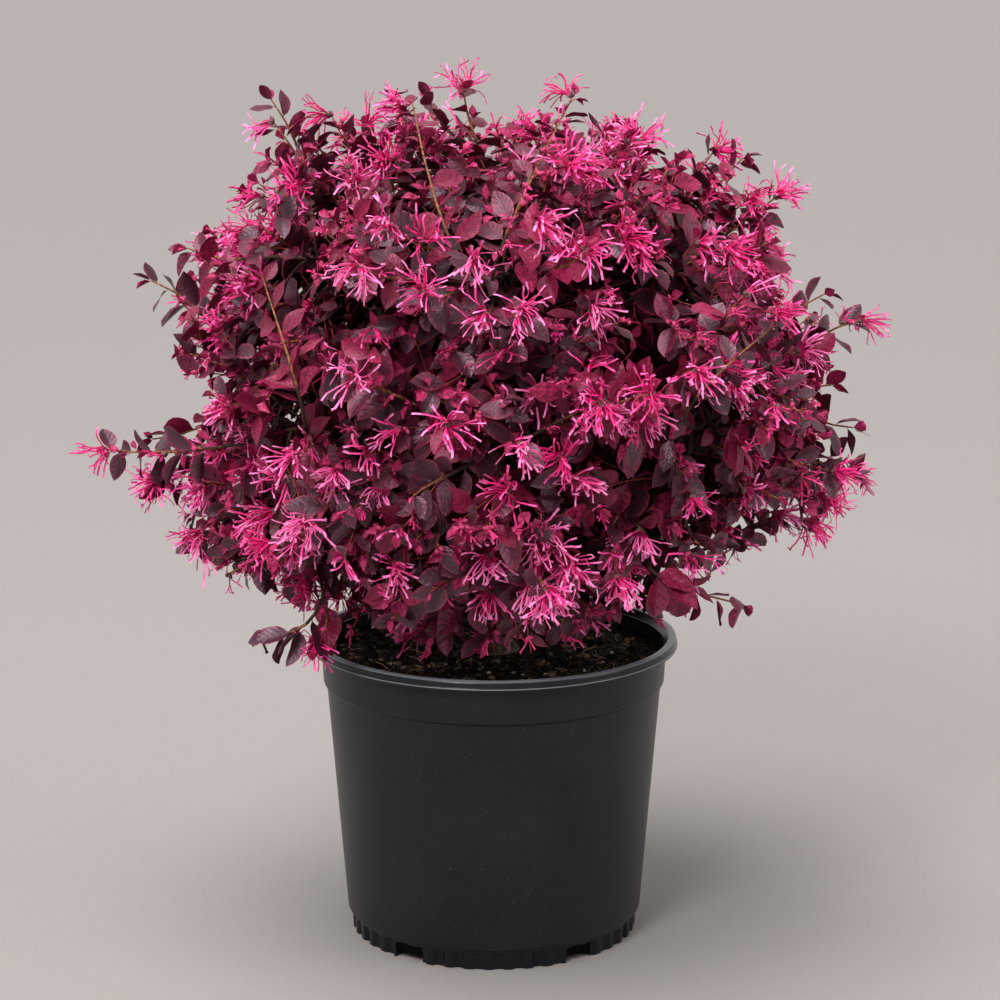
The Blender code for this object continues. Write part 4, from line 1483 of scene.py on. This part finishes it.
def make_twigs(growth, stalks, nodes):
    """Stalks and twigs, near-black inside the crown as painted shade and orange brown further out, and the
    red young shoots.
    """
    half = TWIG_RINGS // 2
    roots = [path[:half + 1] for path in growth.twigs]
    ends = [path[half:] for path in growth.twigs]
    sprig_roots = [path[:half + 1] for path in growth.sprigs]
    sprig_ends = [path[half:] for path in growth.sprigs]
    kinds = (
        ("twigs", "shaded_twig_bark", (
            tubes(stalks, STALK_RADIUS, TWIG_RADIUS, STALK_SIDES),
            tubes(roots, TWIG_RADIUS, TWIG_MIDDLE_RADIUS, TWIG_SIDES),
            tubes(sprig_roots, SPRIG_RADIUS, TWIG_RADIUS, TWIG_SIDES),
        )),
        ("twig_ends", "twig_bark", (
            tubes(ends, TWIG_MIDDLE_RADIUS, TWIG_TIP_RADIUS, TWIG_SIDES),
            tubes(sprig_ends, TWIG_RADIUS, TWIG_TIP_RADIUS, TWIG_SIDES),
        )),
        ("shoots", "shoot_bark", (
            tubes(growth.shoots, SHOOT_RADIUS, SHOOT_TIP_RADIUS, SHOOT_SIDES),
            tubes(growth.spurs, SHOOT_TIP_RADIUS, SHOOT_TIP_RADIUS, SHOOT_SIDES),
        )),
    )
    for name, bark, shapes in kinds:
        add_piece(name, join(shapes), grainy_material(bark, BARK_FINISH), nodes)


def smooth_path(path, step):
    """The same path with points a step apart, rounded through its own points."""
    fine = []
    ends = [path[0] * 2 - path[1]] + list(path) + [path[-1] * 2 - path[-2]]
    for index in range(1, len(ends) - 2):
        a, b, c, d = ends[index - 1:index + 3]
        count = max(2, round((c - b).length / step))
        for part in range(count):
            t = part / count
            fine.append(((b * 2) + (c - a) * t + (a * 2 - b * 5 + c * 4 - d) * t * t
                         + (b * 3 - a - c * 3 + d) * t**3) / 2)
    fine.append(path[-1])
    return fine


def ring_noise(turn, size, rise):
    """Smooth noise round an axis, the same again after a full turn."""
    return noise.noise(Vector((math.cos(turn) * size, math.sin(turn) * size, rise)))


def bark_limb(path, radii, seed):
    """A limb with furrowed bark: its radius follows ridges that run along it."""
    centres = np.array(smooth_path(path, BARK_STEP))
    count = len(centres)
    radius = np.interp(np.linspace(0, len(radii) - 1, count), np.arange(len(radii)), radii)
    points = tube_points(centres[None], radius[None], BARK_SIDES)[0]
    wide, narrow = RIDGE_SIZES
    for ring in range(count):
        rise = ring * RIDGE_STRETCH + seed * LIMBS_APART
        for side in range(BARK_SIDES):
            angle = math.tau * side / BARK_SIDES
            ridge = ring_noise(angle, wide, rise) + ring_noise(angle, narrow, rise * RIDGE_FINER) / 2
            away = points[ring, side] - centres[ring]
            points[ring, side] = centres[ring] + away * (1 + BARK_RELIEF * ridge)
    return points.reshape(-1, 3), tube_faces(1, count, BARK_SIDES)


def stem_relief(point):
    """How far the stem's bark stands out at a point: folds that run up it, and finer ones on them."""
    turn = math.atan2(point.y, point.x)
    rise = point.z - STEM_BOX[0].z
    relief = 0.0
    for size, height, stretch in zip(FOLD_SIZES, FOLD_HEIGHTS, FOLD_STRETCH):
        relief += height * ring_noise(turn, size, rise * stretch)
    return relief


def bark_stem():
    """The same stem with more rings and sides, and the relief of its bark."""
    profile = stem_profile()
    fine = []
    for (low_radius, low), (high_radius, high) in zip(profile[1:-2], profile[2:-1]):
        for step in range(STEM_STEPS):
            share = step / STEM_STEPS
            fine.append((low_radius + (high_radius - low_radius) * share, low + (high - low) * share))
    points, faces = stem_shape([profile[0]] + fine + profile[-2:], BARK_SIDES * 3, stem_relief)
    return np.array(points), by_corners(faces)


def make_limbs(boughs):
    shapes = [bark_stem()]
    for index, bough in enumerate(boughs.values()):
        shapes.append(bark_limb(bough.path, bough.radii, index))
    coat = grainy_material("limb_bark", BARK_FINISH)
    nodes = ["stem"] + ["bough_" + name for name in boughs]
    add_piece("stem_and_boughs", join(shapes), coat, nodes)


# The pot and what is in it

def rounded(profile):
    """A profile whose corners are rounded off, by POT_EDGE or by the size that a corner gives."""
    found = [profile[0]]
    for before, corner, after in zip(profile, profile[1:], profile[2:]):
        a, b, c = (Vector((*point[:2], 0)) for point in (before, corner, after))
        size = corner[2] if len(corner) > 2 else POT_EDGE
        size = min(size, (b - a).length * EDGE_MOST, (c - b).length * EDGE_MOST)
        start, end = b + (a - b).normalized() * size, b + (c - b).normalized() * size
        found += [(spot.x, spot.y) for spot in bow(start, b, end, EDGE_STEPS + 1)]
    found.append(profile[-1])
    return found


def inner_wall(inset, floor):
    """The inside of the pot's wall, or the side of the mix, an inset from the outside and down to a floor."""
    return [
        (BAND_LOW_RADIUS - inset, BAND_Z - LEDGE),
        (WALL_HIGH_RADIUS - inset, BAND_Z - 4 * LEDGE),
        (WALL_LOW_RADIUS - inset, FOOT_HEIGHT + 3 * LEDGE),
        (FOOT_TOP_RADIUS - inset, FOOT_HEIGHT),
        (FOOT_RADIUS - inset, floor),
        (0, floor),
    ]


def pot_profile():
    """From the middle of the underside up the outside, over the rim and down inside to the floor's middle."""
    under = POT_HEIGHT - RIM_DEPTH
    face = RIM_RADIUS - RIM_GROOVE
    outside = [
        (0, 0.0),
        (FOOT_RADIUS, 0.0),
        (FOOT_TOP_RADIUS - LEDGE, FLUTE_TOP - LEDGE),
        (FOOT_TOP_RADIUS, FLUTE_TOP + LEDGE),
        (FOOT_TOP_RADIUS, FOOT_HEIGHT),
        (WALL_LOW_RADIUS, FOOT_HEIGHT + LEDGE),
        (WALL_HIGH_RADIUS, BAND_Z - 2 * LEDGE),
        (BAND_LOW_RADIUS, BAND_Z),
        (BAND_HIGH_RADIUS, under),
        (RIM_RADIUS, under),
        (RIM_RADIUS, under + BEAD_HEIGHT, BEAD_HEIGHT / 2),
        (face, under + BEAD_HEIGHT + RIM_GROOVE / 2),
        (face, POT_HEIGHT, RIM_ROUND),
        (RIM_RADIUS - RIM_WIDTH, POT_HEIGHT),
        (BAND_HIGH_RADIUS - WALL_THICKNESS, under + 2 * LEDGE),
    ]
    return rounded(outside + inner_wall(WALL_THICKNESS, FLOOR_THICKNESS))


def flute(turn):
    """How deep the foot is cut at a turn: upright grooves of uneven depth, and 0 between them."""
    low, high = FLUTE_DEPTHS
    depth = low + (high - low) * (0.5 + 0.5 * ring_noise(turn, FLUTE_CHANGES, 0))
    return depth * max(0.0, min(1.0, math.cos(turn * FLUTES) * FLUTE_STEEPNESS))


def drain_cutter(index):
    """A block with rounded upright edges that opens the foot's wall."""
    turn = DRAIN_TURN + math.tau * index / DRAINS
    inner, outer, below = FOOT_RADIUS - DRAIN_DEPTH, RIM_RADIUS, 2 * LEDGE
    centre = heading(turn, 0) * (inner + outer) / 2 + Vector((0, 0, (DRAIN_HEIGHT - below) / 2))
    size = Matrix.Diagonal((outer - inner, DRAIN_WIDTH, DRAIN_HEIGHT + below, 1.0))
    place = Matrix.Translation(centre) @ Matrix.Rotation(turn, 4, "Z") @ size
    block = bmesh.new()
    bmesh.ops.create_cube(block, size=1, matrix=place)
    bmesh.ops.bevel(block, geom=block.edges, offset=DRAIN_ROUND, segments=3, affect="EDGES", profile=0.5)
    mesh = bpy.data.meshes.new(f"drain_{index}")
    block.to_mesh(mesh)
    block.free()
    return bpy.data.objects.new(mesh.name, mesh)


def make_pot():
    points, faces = lathe(pot_profile(), FLUTES * SIDES_PER_FLUTE)
    for point in points:
        radius = math.hypot(point.x, point.y)
        if point.z < FLUTE_TOP and radius > FOOT_RADIUS - LEDGE:
            groove = 1 - flute(math.atan2(point.y, point.x)) / radius
            point.x *= groove
            point.y *= groove
    obj = add_object("pot_wall", np.array(points), by_corners(faces), plastic_material())
    cutters = bpy.data.collections.new("drain_cutters")
    for index in range(DRAINS):
        cutters.objects.link(drain_cutter(index))
    cut = obj.modifiers.new("drains", "BOOLEAN")
    cut.operation = "DIFFERENCE"
    cut.operand_type = "COLLECTION"
    cut.collection = cutters
    cut.solver = "EXACT"
    bpy.context.view_layer.objects.active = obj
    bpy.ops.object.modifier_apply(modifier=cut.name)
    for cutter in list(cutters.objects):
        bpy.data.objects.remove(cutter)
    bpy.data.collections.remove(cutters)
    obj.data.set_sharp_from_angle(angle=SHARP_EDGE)
    settle(obj, ["pot"])


def soil_height(x, y):
    """Height of the mix at a place: clods and grit, calm at the stem, and lower towards the wall."""
    radius = math.hypot(x, y)
    edge = max(0.0, (radius / SOIL_RADIUS - SOIL_EDGE) / (1 - SOIL_EDGE))
    calm = min(1.0, radius / (STEM_FLARE_RADIUS * 2))
    dip = SOIL_DIP
    for scale, layer, height in SOIL_LUMPS:
        dip -= height * noise.noise(Vector((x * scale, y * scale, layer)))
    return SOIL_TOP - SOIL_EDGE_DROP * edge - SOIL_RELIEF * calm * dip


def make_soil():
    profile = [(0, SOIL_TOP)]
    for ring in range(1, SOIL_RINGS + 1):
        profile.append((SOIL_RADIUS * ring / SOIL_RINGS, SOIL_TOP))
    profile += inner_wall(WALL_THICKNESS + GAP, FLOOR_THICKNESS + GAP)
    points, faces = lathe(profile, SOIL_SIDES)
    for point in points[:1 + SOIL_RINGS * SOIL_SIDES]:
        point.z = soil_height(point.x, point.y)
    turned = [group[:, ::-1] for group in by_corners(faces)]
    coat = grainy_material("potting_mix", MIX_FINISH, MIX_SHADE_HEIGHT)
    add_piece("potting_mix", (np.array(points), turned), coat, ["soil"])


def on_soil(radius, turn):
    """The place on the mix at a distance from the axis and a turn."""
    x, y = radius * math.cos(turn), radius * math.sin(turn)
    return Vector((x, y, soil_height(x, y)))


def anywhere(rng, inner=0.25, outer=0.98):
    """A random place on the mix, even over its area."""
    radius = SOIL_RADIUS * math.sqrt(rng.uniform(inner**2, outer**2))
    return on_soil(radius, rng.uniform(0, math.tau))


def make_chips():
    """Bark chips and grit on the mix."""
    rng = random.Random(SEED + 3)
    rough = np.random.default_rng(SEED + 3)
    for name, share, flat, scale in CHIP_KINDS:
        places = []
        for _ in range(round(CHIPS * share)):
            size = rng.uniform(*CHIP_SIZES) * scale
            spot = anywhere(rng) + UP * size * flat * 0.3
            way = (heading(rng.uniform(0, math.tau), 0) + UP * rng.uniform(-0.3, 0.3)).normalized()
            sizes = (size * rng.uniform(0.5, 0.9), size * flat, size * rng.uniform(0.8, 1.6))
            places.append((spot, way, sizes))
        coat = grainy_material(name, MIX_FINISH)
        add_piece(name, pebbles(places, CHIP_ROUGHNESS, rough), coat, smooth=False)


def near_rim(rng, turn, spread, most=0.98):
    """A random place on the mix close to the wall about a turn in degrees, and a way along the wall."""
    radius = SOIL_RADIUS * rng.uniform(0.82, most)
    angle = math.radians(rng.gauss(turn, spread))
    way = heading(angle + rng.choice((-1, 1)) * rng.uniform(1.7, 2.6), 0)
    return on_soil(radius, angle), way


def make_straw(rng):
    """Straw-coloured fibres, half of them near the wall in front and to the right."""
    paths = []
    for index in range(FIBRES):
        spot, way = near_rim(rng, *FIBRE_SIDE) if index % 2 else (anywhere(rng, outer=0.85), random_unit(rng))
        way = (way + UP * (rng.uniform(0.0, 0.35) - way.z)).normalized()
        end = spot + way * rng.uniform(*FIBRE_LENGTHS) + UP * 0.001
        paths.append(curve(spot + UP * 0.0006, UP * 0.4 + way, random_unit(rng), end, 5))
    straw = grainy_material("straw_fibre", BARK_FINISH)
    add_piece("straw_fibres", tubes(paths, *FIBRE_RADII, 4), straw)


def make_litter():
    """Straw, flecks of moss and dropped petals, most of them at the front of the mix."""
    rng = random.Random(SEED + 4)
    rough = np.random.default_rng(SEED + 4)
    make_straw(rng)
    places = []
    for index in range(MOSS_TUFTS):
        size = rng.uniform(*MOSS_SIZES)
        spot, _ = near_rim(rng, MOSS_TURNS[index % 3], MOSS_SPREAD)
        places.append((spot + UP * size * 0.4, random_unit(rng), (size, size * 0.7, size * 1.2)))
    moss = grainy_material("moss", MIX_FINISH)
    add_piece("moss_flecks", pebbles(places, 0.3, rough), moss, smooth=False)
    straps = []
    for _ in range(FALLEN_PETALS):
        spot, way = near_rim(rng, *FALLEN_SIDE)
        length = rng.uniform(*CURL_LENGTHS)
        straps.append((spot + UP * 0.0012, way, way, UP.cross(way), length, STRAP_WIDTH))
    petals = petal_material("fallen_petal", PETAL_TINTS[0][1])
    shape = strap_rows(strap_points(straps, CURL_ROWS, rough))
    add_piece("fallen_petals", shape, petals)


# Stage

def make_stage():
    corners = [(-1, -1, 0), (1, -1, 0), (1, 1, 0), (-1, 1, 0)]
    coat = grainy_material("pale_floor", MIX_FINISH)
    faces = [np.array([[0, 1, 2, 3]])]
    add_object("floor", np.array(corners) * FLOOR_HALF, faces, coat, smooth=False)


def add_lamp(name, kind, place, target, power, colour, size):
    """A lamp of a kind at a place, turned to a target."""
    data = bpy.data.lights.new(name, kind)
    data.energy = power
    data.color = colour
    if kind == "SUN":
        data.angle = math.radians(size)
    else:
        data.shape = "DISK"
        data.size = size
    lamp = bpy.data.objects.new(name, data)
    lamp.location = place
    lamp.rotation_mode = "QUATERNION"
    lamp.rotation_quaternion = (Vector(target) - Vector(place)).to_track_quat("-Z", "Y")
    bpy.context.scene.collection.objects.link(lamp)


def make_light():
    world = bpy.data.worlds.new("soft_sky")
    world.use_nodes = True
    tree = world.node_tree
    place = add_node(tree, "TexCoord").outputs["Generated"]
    height = add_node(tree, "SeparateXYZ", Vector=place).outputs["Z"]
    colour = ramp(tree, height, [(0.0, SKY_LOW), (0.9, SKY_HIGH)])
    feed(tree, tree.nodes["Background"], Color=colour, Strength=SKY_STRENGTH)
    bpy.context.scene.world = world
    bpy.context.scene.view_settings.view_transform = "Standard"
    for lamp in LAMPS:
        add_lamp(*lamp)


def make_camera():
    data = bpy.data.cameras.new("camera")
    data.lens = LENS
    data.sensor_width = SENSOR
    camera = bpy.data.objects.new("camera", data)
    camera.location = CAMERA_PLACE
    camera.rotation_euler = (math.pi / 2 - CAMERA_TILT, 0, 0)
    bpy.context.scene.collection.objects.link(camera)
    bpy.context.scene.camera = camera


def all_sprigs():
    """Every sprig with its places as vectors, the heads at the front last."""
    found = [(kind, Vector(tip), Vector(*via) if via else None) for kind, tip, *via in SPRIGS]
    for turn, height in HEADS:
        tip = shell(heading(math.radians(turn), math.radians(height)), HEAD_REACH)
        found.append(("blossom", tip, None))
    return found


def make_plant():
    rng = random.Random(SEED)
    sites = mass_sites()
    boughs = make_boughs(sites, rng)
    make_limbs(boughs)
    shapes = [plain_stem()] + [limb(bough.path, bough.radii, BOUGH_SIDES) for bough in boughs.values()]
    points, faces = [], []
    for shape_points, shape_faces in shapes:
        faces += [tuple(len(points) + corner for corner in face) for face in shape_faces]
        points += shape_points
    growth = Growth(BVHTree.FromPolygons(points, faces), rng)
    centres = [shell(direction, MASS_MIDDLE) for _, _, direction in sites]
    owned = [[] for _ in sites]
    for kind, tip, via in all_sprigs():
        owner = min(range(len(sites)), key=lambda index: (centres[index] - (via or tip)).length)
        owned[owner].append((kind, tip, via))
    stalks = []
    for (name, _, direction), sprigs in zip(sites, owned):
        stalks.append(grow_mass(growth, direction, boughs[name], sprigs))
    nodes = ["foliage_" + name for name, _, _ in sites]
    make_twigs(growth, stalks, nodes)
    make_leaves(growth, nodes)
    make_petals(growth, nodes)
    make_knots(growth, nodes)


make_camera()
make_light()
make_stage()
make_pot()
make_soil()
make_chips()
make_litter()
make_plant()
